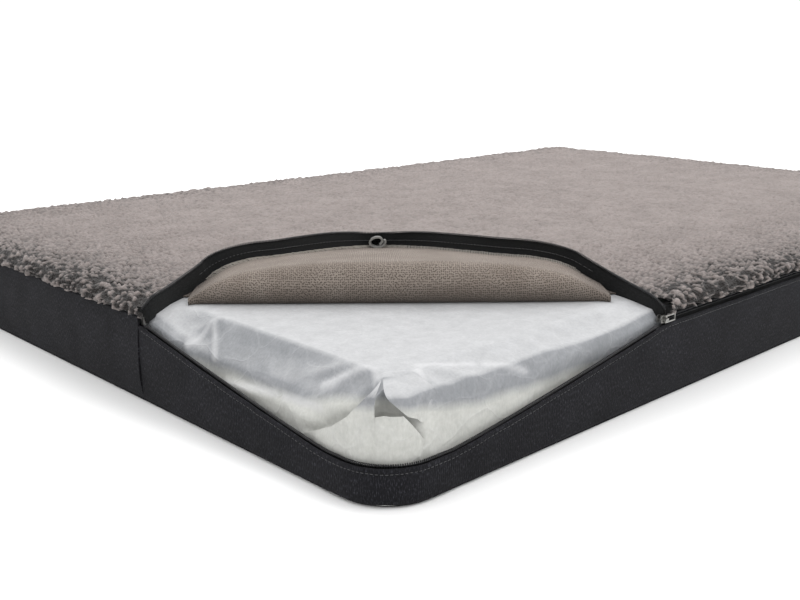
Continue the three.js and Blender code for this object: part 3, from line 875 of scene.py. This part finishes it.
def corner_backing():
    """The knit side of the folded corner, in two pieces that meet at the roll's crest."""
    along = np.linspace(0.034, MOUTH - 0.043, 200)
    flat, roll, flap = fold_rows(along, PANEL_INSET, -0.047)
    lower = np.concatenate([flat, roll, flap[:1]])
    pieces = []
    for name, past in (("backing_roll", lower), ("backing_flap", flap)):
        v = np.broadcast_to(along, past.shape)
        slack = 0.0006 * soft_noise(v, past, 0.05, 31) + 0.0009 * soft_noise(v, past, 0.11, 32)
        slack *= smooth((past + 0.02) / 0.02)
        pieces.append(cloth(name, fold(v, past, slack), 0.0010, weave_uv(along, past), flip=True))
    return pieces


def corner_pile():
    """The sherpa side of the folded corner: inside the roll, and under the flap."""
    along = np.linspace(0.044, MOUTH - 0.054, 230)
    _, roll, flap = fold_rows(along, PANEL_INSET, -0.024)
    thick = pile_thickness(along)
    pieces = []
    for name, past, finer in (("pile_roll", np.concatenate([roll, flap[:1]]), 1), ("pile_flap", flap, 2)):
        rows = np.linspace(0, len(past) - 1, len(past) * finer)
        past = np.stack([np.interp(rows, np.arange(len(past)), column) for column in past.T], axis=1)
        v = np.broadcast_to(along, past.shape)
        tuft = tufts(v, past, CURL, 41)
        height = 0.0010 + thick + 0.0030 * (tuft - 0.5) * thick / thick.max()
        if name == "pile_flap":
            turn_in = smooth((past[-1] - past) / 0.007)
            height = 0.0012 + (height - 0.0012) * np.sqrt(turn_in)
        grid = fold(v, past, height)
        floor = fold(v, past, np.full(past.shape, 0.0011))
        piece = closed_between(name, grid, floor)
        vertex_values(piece, "tuft", np.concatenate([tuft.ravel(), np.zeros(tuft.size)]))
        pieces.append(piece)
    return pieces


def closed_between(name, outer, inner):
    """A closed mesh between two grids of the same size."""
    rows, cols = outer.shape[:2]
    quads = grid_quads(rows, cols)[0]
    count = rows * cols
    index = np.arange(count).reshape(rows, cols)
    faces = [quads[:, ::-1], quads + count]
    for rim in rims(index):
        a, b = rim[:-1], rim[1:]
        faces.append(np.stack([b, a, a + count, b + count], axis=1)[:, ::-1])
    points = np.concatenate([outer.reshape(-1, 3), inner.reshape(-1, 3)])
    return add_mesh(name, points, np.concatenate(faces))


def folded_corner():
    roll_cloth, flap_cloth = corner_backing()
    roll_pile, flap_pile = corner_pile()
    for piece, slot, replaced in (
        (roll_cloth, "knit_backing", "fold_knit_backing"), (roll_pile, "sherpa_pile", "fold_sherpa_pile"),
        (flap_cloth, "knit_backing", "flap_knit_backing"), (flap_pile, "sherpa_pile", "flap_sherpa_pile"),
    ):
        finish_piece(piece, KNIT if slot == "knit_backing" else SHERPA, None, slot, replaced)
    for piece in (roll_cloth, roll_pile):
        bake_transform(piece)
    for piece in (flap_cloth, flap_pile):
        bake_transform(piece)
    return roll_cloth, roll_pile, flap_cloth, flap_pile


# ---------------------------------------------------------------- zip
def coil(name, centre, outward, rise, half_width, half_height):
    """A row of zip coil: a wire wound round a line of points. outward and rise point across the line."""
    length = np.concatenate([[0], np.cumsum(np.linalg.norm(np.diff(centre, axis=0), axis=1))])
    steps = int(length[-1] / COIL_PITCH * 7)
    at = np.linspace(0, length[-1], steps)
    mid, out, up = (np.stack([np.interp(at, length, part[:, i]) for i in range(3)], axis=1)
                    for part in (centre, outward, rise))
    turn = at / COIL_PITCH * 2 * math.pi
    radial = np.cos(turn)[:, None] * out + np.sin(turn)[:, None] * up
    path = mid + half_width * np.cos(turn)[:, None] * out + half_height * np.sin(turn)[:, None] * up
    forward = unit(np.gradient(mid, axis=0))
    sides = 4
    around = np.arange(sides) * 2 * math.pi / sides
    rings = path[:, None] + COIL_WIRE * (np.cos(around)[None, :, None] * radial[:, None]
                                         + np.sin(around)[None, :, None] * forward[:, None])
    quads = grid_quads(steps, sides, True)[0]
    caps = np.array([[3, 2, 1, 0], [0, 1, 2, 3]]) + np.array([[0], [(steps - 1) * sides]])
    return add_mesh(name, rings.reshape(-1, 3), np.concatenate([quads, caps]))


def upright_tape(name, stations, inset, low, high):
    """A zip tape that stands upright along the outline, between two heights."""
    z = low + np.linspace(0, 1, 5)[:, None] * (high - low)
    wave = 0.00025 * line_noise(stations, 0.03, 51)
    plan, out = outline(stations, inset)
    grid = upright_grid(plan + out * wave[:, None], z)
    return cloth(name, grid, TAPE_T, weave_uv(stations, z))


def zip_rows():
    """Both halves of the closed zip, and the loose half on the sagging edge."""
    up = np.array([0, 0, 1.0])
    closed = np.arange(OPEN_FRONT, ZIP_END, 0.004)
    for name, z in (("closed_zip_coil_lower", SEAM_Z - 0.0013), ("closed_zip_coil_upper", SEAM_Z + 0.0013)):
        centre, out = band_line(closed, 0.0034, z)
        row = coil(name + "_teeth", centre, out, np.broadcast_to(up, out.shape), 0.00075, 0.0005)
        finish_piece(row, COIL, "cover_and_core", "zip_coil", name)
    low_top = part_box("closed_zip_tape_lower")[1].z
    high_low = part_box("closed_zip_tape_upper")[0].z
    for name, low, high in (("closed_zip_tape_lower", low_top - 0.0121, low_top + 0.0012),
                            ("closed_zip_tape_upper", high_low - 0.0012, high_low + 0.0056)):
        tape = upright_tape(name + "_woven", closed, 0.0038, low, high)
        finish_piece(tape, TAPE, "cover_and_core", "zip_tape", name)

    loose = np.arange(-OPEN_LEFT + 0.003, OPEN_FRONT - 0.010, 0.003)
    edge = sagging_top(loose)
    tape = upright_tape("mouth_zip_tape_woven", loose, 0.0032, edge - 0.0122, edge - 0.0003)
    finish_piece(tape, TAPE, "mouth_edge", "zip_tape", "mouth_zip_tape")
    centre, out = band_line(loose, 0.0028, edge + 0.0004)
    row = coil("mouth_zip_coil_teeth", centre, out, np.broadcast_to(up, out.shape), 0.0011, 0.0009)
    finish_piece(row, COIL, "mouth_edge", "zip_coil", "mouth_zip_coil")


def flap_edge():
    """The zip half, the overlocked edge and the small loop along the folded corner."""
    short = 0.0005
    root = "cover_and_core"
    parts = [
        ("flap_zip_tape_woven", "flap_zip_teeth", FLAP_LEFT, FLAP_FRONT, "corner_flap"),
        ("flap_zip_tape_left_end", "flap_zip_teeth_left_end", -OPEN_LEFT + short, FLAP_LEFT, root),
        ("flap_zip_tape_front_end", "flap_zip_teeth_front_end", FLAP_FRONT, OPEN_FRONT - short, root),
    ]
    for name, teeth, start, stop, body in parts:
        stations = np.linspace(start, stop, max(16, int((stop - start) / 0.0025)))
        foot, up, height = loose_edge(stations)
        out = unit(np.cross(np.gradient(foot, axis=0), up))
        shares = np.linspace(0, 1, 8)[:, None, None]
        belly = 0.0012 * np.sin(math.pi * shares) * line_noise(stations, 0.05, 63)[None, :, None]
        grid = foot + shares * height[:, None] * up + belly * out
        tape = cloth(name, grid, TAPE_T, weave_uv(stations, shares[..., 0] * height))
        finish_piece(tape, TAPE, body, "zip_tape", *(("flap_zip_tape",) if body == "corner_flap" else ()))
        row = coil(teeth, foot + (height[:, None] + 0.0004) * up, out, up, 0.0010, 0.0009)
        finish_piece(row, COIL, body, "zip_coil", *(("flap_zip_coil",) if body == "corner_flap" else ()))
    overlock_and_stitches()
    label_loop()


def overlock_and_stitches():
    """Thread loops over the raw knit edge, and the row of stitches along the tape's middle."""
    spots = np.arange(FLAP_LEFT, OPEN_FRONT - 0.060, 0.0019)
    outward = np.array([0.0004, 0.0009, 0.0018, 0.0027, 0.0034])
    jitter = cell_random(np.arange(len(spots)), np.zeros(len(spots)), 71) - 0.5
    loops = []
    for station, wander in zip(spots, jitter):
        slant = np.array([0, 0.0008, 0.0016, 0.0022, 0.0026]) + station
        along, past = flat_edge(slant, PANEL_INSET + outward + 0.0005 * wander)
        height = np.array([-0.0026, -0.0028, -0.0021, -0.0012, -0.0005]) - 0.0005 * wander
        loops.append(fold(along, past, height))
    piece = tubes("flap_overlock_loops", loops, 0.00045, 5)
    finish_piece(piece, THREAD, "corner_flap", "overlock_thread", "flap_overlock_edge")
    stitches = []
    to_corner = np.array([*ACROSS, 0])
    for station in np.arange(FLAP_LEFT, OPEN_FRONT - 0.068, STITCH_STEP):
        line = station + np.array([0, 0.0007, 0.0021, 0.0028])
        foot, up, height = loose_edge(line)
        proud = np.array([0.0002, 0.0011, 0.0011, 0.0002])[:, None]
        stitches.append(foot + 0.55 * height[:, None] * up + proud * to_corner)
    piece = tubes("flap_tape_stitches", stitches, 0.00030, 4)
    finish_piece(piece, STITCH, "corner_flap", "overlock_thread")


def label_loop():
    """A small blank ribbon, curled up at the folded corner's tip. Its open end faces the near corner."""
    turn = np.linspace(-0.3 * math.pi, 2.1 * math.pi, 44)
    radius = 0.0054 + 0.0028 * (turn - turn[0]) / (turn[-1] - turn[0]) + 0.0005 * np.sin(2.3 * turn)
    foot, up, _ = loose_edge(np.array([-0.006, -0.004, -0.002]))
    middle = foot[1] + up[1] * 0.0078
    rows = []
    for toward in np.linspace(0.0005, 0.0110, 5):
        skew = 1 + 0.10 * toward / 0.0110
        ring = np.multiply.outer(radius * np.cos(turn) * skew, np.array([*ALONG, 0]))
        ring += np.multiply.outer(0.88 * radius * np.sin(turn), np.array([0, 0, 1.0]))
        rows.append(middle + ring + toward * np.array([*ACROSS, 0.12]))
    grid = np.stack(rows)
    arc = np.concatenate([[0], np.cumsum((radius[1:] + radius[:-1]) / 2 * np.diff(turn))])
    width = np.linspace(0, 0.0105, 5)[:, None]
    piece = cloth("label_loop_ribbon", grid, 0.0019, weave_uv(arc, width))
    finish_piece(piece, RIBBON, "corner_flap", "label_ribbon", "flap_label_loop")


# ---------------------------------------------------------------- side band
def band_offset(u, z, top, share):
    """How far the band's outer face stands out: a soft swell, a tucked-in foot and a folded hem."""
    swell = 0.0016 * np.sin(math.pi * share) * (1 + 0.5 * soft_noise(u, z, 0.15, 81))
    swell = swell + 0.0011 * soft_noise(u, z * 0.6, 0.11, 82) * smooth(share / 0.3)
    swell = swell + 0.00035 * soft_noise(u, z, 0.018, 83)
    foot = -0.0026 * (1 - smooth(share / 0.10))
    below = top - z
    hem = 0.0006 * (1 - smooth((below - 0.0042) / 0.0012)) - 0.0010 * (1 - smooth(below / 0.0011))
    stitch_line = -0.0005 * np.exp(-(((below - 0.0036) / 0.0006) ** 2))
    pucker = 0.0003 * soft_noise(u, z * 0, 0.007, 84) * (1 - smooth((below - 0.002) / 0.006))
    return swell + foot + hem + stitch_line + pucker


def band_grid(stations, top, z_low=0.0004):
    """Outer face of the band, and its texture coordinates."""
    shares = (np.linspace(0, 0.12, 5), np.linspace(0.18, 0.86, 12), np.linspace(0.90, 1, 8))
    share = np.concatenate(shares)[:, None]
    z = z_low + (top - z_low) * share
    offset = band_offset(np.broadcast_to(stations, z.shape), z, top, share)
    rows = [lifted(outline(stations, -stand)[0], level) for stand, level in zip(offset, z)]
    return np.stack(rows), weave_uv(stations, z)


def stations_between(start, stop, step, corner_step=0.0035):
    """Stations from start to stop, closer together round the mat's corners."""
    at = [start]
    corners = (0.0, LENGTH, LENGTH + WIDTH, 2 * LENGTH + WIDTH)
    while at[-1] < stop:
        near = min(abs(at[-1] - corner) for corner in corners) < NEAR_R + step
        at.append(at[-1] + (corner_step if near else step))
    at[-1] = stop
    return np.array(at)


def level_top(station):
    """Height of the band where it is zipped closed."""
    return np.full(station.shape, ZIPPED_BAND_TOP)


def band_stitches(name, stations, top, body):
    """A row of topstitching just under the band's folded edge."""
    paths = []
    for station in stations:
        line = station + np.array([0, 0.0006, 0.0022, 0.0028])
        z = top(line) - 0.0036
        proud = band_offset(line, z, top(line), z / top(line)) + np.array([-0.0002, 0.0003, 0.0003, -0.0002])
        paths.append(lifted(outline(line, -proud)[0], z))
    finish_piece(tubes(name, paths, 0.00026, 4), STITCH, body, "band_fabric")


def side_band():
    """The opened stretch of the band, which sags, and the closed stretch round the rest of the mat."""
    seam = UPRIGHT_SEAM
    open_at = stations_between(seam, OPEN_FRONT, 0.006)
    grid, uv = band_grid(open_at, sagging_top(open_at))
    opened = cloth("band_open", grid, BAND_T, uv)
    finish_piece(opened, BAND, None, "band_fabric", "side_band_open_stretch")
    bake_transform(opened)
    closed_at = stations_between(OPEN_FRONT, LAP + seam, 0.008)
    step_up = smooth((closed_at - ZIP_END + 0.002) / 0.006)
    top = ZIPPED_BAND_TOP + (PLAIN_BAND_TOP - 0.0035 - ZIPPED_BAND_TOP) * step_up
    grid, uv = band_grid(closed_at, top)
    closed = cloth("band_closed", grid, BAND_T, uv)
    stands_for = ("front", "front_right_corner", "right_zipped", "right", "back_right_corner", "back",
                  "back_left_corner", "left")
    finish_piece(closed, BAND, "cover_and_core", "band_fabric", *("side_band_" + side for side in stands_for))
    opened_at = np.arange(-OPEN_LEFT, OPEN_FRONT - STITCH_STEP, STITCH_STEP)
    zipped_at = np.arange(OPEN_FRONT, ZIP_END, STITCH_STEP)
    band_stitches("band_stitches_mouth", opened_at, sagging_top, "mouth_edge")
    band_stitches("band_stitches_zip", zipped_at, level_top, "cover_and_core")


def seam_allowance():
    """The doubled cloth inside the band's upright seam."""
    stations = np.linspace(UPRIGHT_SEAM - 0.0105, UPRIGHT_SEAM - 0.0004, 6)
    z = np.linspace(0.003, 0.054, 14)[:, None]
    grid = upright_grid(outline(stations, 0.0022)[0], z)
    grid[..., 0] += 0.0003 * np.sin(grid[..., 2] * 300)
    piece = cloth("band_seam_allowance", grid, 0.0009, weave_uv(stations, z))
    finish_piece(piece, BAND, "cover_and_core", "band_fabric", "side_band_seam_allowance")


def plan_plate(name, plan, low, high):
    """A flat sheet of cloth from a plan outline, with softly turned edges."""
    count = len(plan)
    middle = plan.mean(axis=0)
    inner = middle + (plan - middle) * (1 - 0.0008 / np.linalg.norm(plan - middle, axis=1, keepdims=True))
    thickness = high - low
    rings = [(inner, low), (plan, low + 0.25 * thickness), (plan, low + 0.75 * thickness), (inner, high)]
    points = np.concatenate([lifted(ring, z) for ring, z in rings])
    walls = grid_quads(len(rings), count, True)[0][:, [0, 3, 2, 1]].tolist()
    caps = [list(range(count))[::-1], [3 * count + i for i in range(count)]]
    mesh = bpy.data.meshes.new(name)
    mesh.from_pydata(points.tolist(), [], walls + caps)
    layer = mesh.uv_layers.new(name="weave")
    at = np.zeros(len(mesh.loops), np.int32)
    mesh.loops.foreach_get("vertex_index", at)
    layer.data.foreach_set("uv", points[at, :2].astype(np.float32).ravel())
    return new_object(name, mesh)


def flat_panels():
    """The cover's bottom panel, and the knit backing of the part of the top that stays flat."""
    around = stations_between(0, LAP, 0.05, 0.004)[:-1]
    low, high = (corner.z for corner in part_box("bottom_panel"))
    bottom = plan_plate("bottom_panel_cloth", outline(around, 0.0022)[0], low, high)
    finish_piece(bottom, BAND, "cover_and_core", "band_fabric", "bottom_panel")
    plan = outline(around, PANEL_INSET)[0]
    along, past = mouth_coordinates(plan)
    limit = -0.0475
    kept = past < limit
    first = int(np.argmax(kept))
    plan = np.roll(plan, -first, axis=0)[: int(kept.sum())]
    _, ends = mouth_coordinates(plan[[0, -1]])
    start = plan[0] + unit(plan[0] - plan[1]) * (limit - ends[0]) / abs(ACROSS[0])
    stop = plan[-1] + unit(plan[-1] - plan[-2]) * (limit - ends[1]) / abs(ACROSS[1])
    plan = np.concatenate([[start], plan, [stop]])
    backing = plan_plate("top_panel_backing", plan, BACKING_LOW, BACKING_HIGH)
    finish_piece(backing, KNIT, "cover_and_core", "knit_backing", "top_panel_knit_backing")
    return backing


# ---------------------------------------------------------------- core and liner
def openness(x, y):
    """1 where the core shows in the open corner, and 0 where the cover holds it."""
    along, past = mouth_coordinates(np.stack([x, y], axis=-1).reshape(-1, 2))
    inside = smooth((past + 0.035) / 0.05) * smooth((np.minimum(along, MOUTH - along) + 0.01) / 0.07)
    return inside.reshape(np.shape(x))


def shoulder(past, opened, left, corner):
    """How far out and down the liner goes, for a distance past the flat top's edge. It is slack where opened.

    left and corner say how far the way out points to the left side, or to the near corner."""
    shut = [[0, 0, 0], [0.030, 0.029, 0.001], [0.040, 0.035, 0.008], [0.110, 0.0355, 0.078]]
    front = [[0, 0, 0], [0.031, 0.029, 0.009], [0.040, 0.032, 0.017], [0.110, 0.0350, 0.078]]
    side = [[0, 0, 0], [0.034, 0.025, 0.024], [0.053, 0.032, 0.042], [0.110, 0.0350, 0.078]]
    pinched = [[0, 0, 0], [0.020, 0.018, 0.001], [0.045, 0.021, 0.022], [0.110, 0.0330, 0.078]]
    ways = []
    for table in (shut, front, side, pinched):
        distance, out, down = np.array(table).T
        ways.append((np.interp(past, distance, out), np.interp(past, distance, down)))
    result = []
    for axis in (0, 1):
        slack = ways[1][axis] * (1 - left) + ways[2][axis] * left
        slack = slack * (1 - corner) + ways[3][axis] * corner
        result.append(ways[0][axis] * (1 - opened) + slack * opened)
    return result


def segment_distance(x, y, a, b):
    """Distance from a segment, and how far along it the nearest point is, from 0 to 1."""
    ax, ay = a
    bx, by = b[0] - ax, b[1] - ay
    t = np.clip(((x - ax) * bx + (y - ay) * by) / (bx * bx + by * by), 0, 1)
    return np.hypot(x - ax - t * bx, y - ay - t * by), t


# Creases of the slack liner, from the near corner: both ends, half the width and the height.
LINER_CREASES = [
    ((0.020, 0.252), (0.052, 0.215), 0.012, 0.0045),
    ((-0.010, 0.236), (0.020, 0.252), 0.010, 0.0030),
    ((0.040, 0.215), (0.046, 0.070), 0.014, 0.0022),
    ((0.046, 0.058), (0.020, 0.110), 0.010, 0.0030),
    ((0.046, 0.058), (-0.012, 0.096), 0.011, 0.0034),
    ((0.050, 0.054), (0.066, 0.006), 0.010, 0.0030),
    ((0.052, 0.050), (0.110, -0.004), 0.012, 0.0030),
    ((0.070, 0.048), (0.200, 0.040), 0.016, 0.0018),
    ((0.060, 0.090), (0.110, 0.130), 0.016, 0.0012),
    ((0.150, -0.006), (0.260, 0.012), 0.010, 0.0026),
    ((-0.018, 0.190), (-0.010, 0.120), 0.009, 0.0024),
    ((-0.006, 0.062), (-0.004, 0.120), 0.007, 0.0042),
    ((-0.004, 0.120), (-0.007, 0.188), 0.007, 0.0042),
    ((0.048, 0.014), (0.058, -0.010), 0.006, 0.0032),
    ((0.094, 0.010), (0.088, -0.012), 0.006, 0.0022),
    ((0.034, 0.030), (0.006, 0.050), 0.010, -0.0110),
    ((0.006, 0.050), (-0.014, 0.086), 0.009, -0.0080),
]
# Sharp folds, which get a painted highlight and a small lift: both ends.
LINER_FOLDS = [
    ((-0.006, 0.196), (0.001, 0.124)), ((0.001, 0.124), (0.004, 0.074)), ((0.036, 0.238), (0.004, 0.208)),
    ((0.036, 0.238), (0.000, 0.242)), ((0.063, 0.036), (0.046, 0.000)), ((0.062, 0.040), (0.111, 0.021)),
    ((0.111, 0.021), (0.150, 0.000)), ((0.043, 0.057), (0.016, 0.090)), ((0.043, 0.057), (0.030, 0.040)),
]


def liner_creases(x, y, lift, opened):
    """The liner's lift with its creases and folds added, and the strength of the painted highlight along the
    folds.
    """
    for a, b, width, height in LINER_CREASES:
        distance, t = segment_distance(x - X0, y - Y0, a, b)
        lift = lift + height * np.clip(1 - distance / width, 0, 1) ** 1.4 * (1 - 0.7 * np.abs(2 * t - 1))
    # white holds the strength of the painted highlight along each fold.
    white = np.zeros(x.shape)
    for a, b in LINER_FOLDS:
        distance, t = segment_distance(x - X0, y - Y0, a, b)
        line = np.clip(1.25 - distance / 0.0034, 0, 1) * smooth((0.5 - np.abs(t - 0.5)) / 0.12 + 0.15)
        white = np.maximum(white, line)
        lift = lift + 0.0008 * line * opened
    return lift, white


def liner():
    """The white non-woven liner: flat on top, slack over the core's edge, creased in the opening.

    It is eased down to stay under the knit backing of the cover."""
    reach = 0.108
    inset = 0.042
    fine = 0.0026
    coarse = 0.02
    floor_gap = 0.0022
    x_lines = np.concatenate([
        np.arange(X0 - reach + inset, X0 + 0.33, fine), np.arange(X0 + 0.34, X1 + reach, coarse)])
    y_lines = np.concatenate([
        np.arange(Y0 - reach + inset, Y0 + 0.30, fine), np.arange(Y0 + 0.31, Y1 + reach, coarse)])
    x_lines[-1] = X1 + reach - inset
    y_lines[-1] = Y1 + reach - inset
    x, y = np.meshgrid(x_lines, y_lines)
    past, px, py, dx, dy = past_the_edge(x, y, inset, 0.008)
    past = np.minimum(past, reach)
    opened = openness(x, y)
    left = np.clip(-dx * np.abs(dx), 0, 1)
    corner = np.where((dx < 0) & (dy < 0), (2 * dx * dy) ** 2, 0)
    out, down = shoulder(past, opened, left, corner)
    crumple = creased_noise(x, y, 0.038, 91) - 0.75
    broad = soft_noise(x, y, 0.075, 92)
    slope = smooth(past / 0.02)
    lift = opened * ((0.0007 + 0.0016 * slope) * crumple + (0.0007 + 0.0014 * slope) * broad)
    lift, white = liner_creases(x, y, lift, opened)
    tilt = np.clip(down / 0.03, 0, 1)
    height = LINER_TOP - LINER_GAP - down + lift * (1 - 0.5 * tilt)
    ceiling = BACKING_LOW - LINER_GAP
    softness = 0.0005
    height = ceiling - softness * np.logaddexp(0, (ceiling - height) / softness)
    points = np.stack([
        px + dx * (out + lift * tilt), py + dy * (out + lift * tilt), np.maximum(height, floor_gap)
    ], axis=-1)
    keep_out = past >= reach
    rows, cols = x.shape
    quads, r, c = grid_quads(rows, cols)
    keep = ~(keep_out[r, c] & keep_out[r, c + 1] & keep_out[r + 1, c + 1] & keep_out[r + 1, c])
    # The folds' painted highlight strength is stored for the material.
    piece = part_of_grid("liner_film", points, quads[keep], "painted_fold_highlight", white)
    finish_piece(piece, LINER, "cover_and_core", "liner", "liner_side_wall", "liner_top_sheet")


def parcel_fold():
    """The liner's corner, folded like a wrapped parcel's: three lapped sheets with an open pocket between.

    Each is given by its upper and its lower edge, as (station, height, how far it stands proud)."""
    sheets = {
        "left": (
            [(-0.090, 0.030, 0.001), (-0.058, 0.045, 0.004), (-0.028, 0.066, 0.005), (-0.010, 0.0790, 0.003)],
            [(-0.085, 0.012, 0.000), (-0.054, 0.010, 0.001), (-0.022, 0.010, 0.001), (-0.013, 0.012, 0.001)],
        ),
        "lip": (
            [(-0.020, 0.0570, 0.000), (-0.002, 0.0605, 0.003), (0.018, 0.0600, 0.005), (0.044, 0.040, 0.001)],
            [(-0.022, 0.012, 0.000), (0.000, 0.011, 0.001), (0.020, 0.012, 0.001), (0.046, 0.014, 0.000)],
        ),
        "right": (
            [(-0.009, 0.0790, 0.002), (0.008, 0.0790, 0.001), (0.028, 0.0785, 0.000), (0.054, 0.0780, 0.000)],
            [(0.022, 0.0595, 0.005), (0.034, 0.0560, 0.003), (0.044, 0.0510, 0.001), (0.060, 0.0470, 0.000)],
        ),
    }
    across = np.linspace(0, 1, 34)
    knots = np.linspace(0, 1, 4)
    for name, (upper, lower) in sheets.items():
        top = np.stack([np.interp(across, knots, [p[k] for p in upper]) for k in range(3)], axis=1)
        foot = np.stack([np.interp(across, knots, [p[k] for p in lower]) for k in range(3)], axis=1)
        rows = []
        for t in np.linspace(0, 1, 30):
            station, z, proud = (top * (1 - t) + foot * t).T
            belly = 0.0022 * math.sin(math.pi * t) * np.sin(math.pi * across)
            crumple = 0.0020 * (creased_noise(station * 1.2, z, 0.017, 95) - 0.75) * smooth(t * 4)
            base = 0.0092 + 0.0010 * smooth((z - 0.030) / 0.030) + 0.0200 * smooth((z - 0.069) / 0.010) ** 2
            plan = outline(station, np.maximum(base - proud - belly - crumple, 0.0062))[0]
            rows.append(lifted(plan, z))
        grid = np.stack(rows)
        piece = cloth("parcel_fold_" + name, grid, 0.0004, grid[..., [0, 2]], flip=True)
        replaced = ("liner_corner_fold",) if name == "left" else ()
        finish_piece(piece, LINER, "cover_and_core", "liner", *replaced)


def foam_slab(name, low, high, material, slot, node):
    """A foam layer. Its upper edge is worn round, and pressed in where the corner is open."""
    stations = stations_between(0, LAP, 0.02, 0.006)[:-1]
    plan = outline(stations, 0.0)[0]
    opened = np.minimum(3 * openness(plan[:, 0], plan[:, 1]), 1)
    left = np.where(stations > LAP / 2, 1.0, 0.0)
    levels = np.linspace(low, high, 9)
    rings = []
    for z in levels:
        shut = 0.0085 + 0.004 * max(0, (z - 0.068) / 0.009) ** 2
        crushed = 0.014 + 0.044 * np.clip((z - 0.020 - 0.016 * (1 - left)) / 0.046, 0, 1)
        inset = shut * (1 - opened) + crushed * opened
        rings.append(lifted(outline(stations, inset)[0], z))
    grid = np.stack(rings)
    rows, cols = grid.shape[:2]
    quads = grid_quads(rows, cols, True)[0]
    mesh = bpy.data.meshes.new(name)
    caps = [list(range(cols))[::-1], [(rows - 1) * cols + i for i in range(cols)]]
    mesh.from_pydata(grid.reshape(-1, 3).tolist(), [], quads.tolist() + caps)
    piece = new_object(name, mesh)
    finish_piece(piece, material, "cover_and_core", slot, node)


# ---------------------------------------------------------------- build
camera()
stage()
lights()
panel_halves = panel_pile()
panel_backing = flat_panels()
roll_cloth, roll_pile, flap_cloth, flap_pile = folded_corner()
zip_rows()
flap_edge()
side_band()
seam_allowance()
liner()
parcel_fold()
foam_slab("white_foam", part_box("comfort_foam")[0].z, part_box("comfort_foam")[1].z - 0.0022, FOAM_WHITE,
          "foam_white", "comfort_foam")
foam_slab("cream_foam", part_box("support_foam")[0].z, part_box("support_foam")[1].z, FOAM_CREAM, "foam_cream",
          "support_foam")
for node in ("zip_slider", "zip_pull_tab", "zip_stop_near", "zip_stop_far"):
    wear(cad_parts[node], METAL)
wear(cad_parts["liner_bottom_sheet"], LINER)
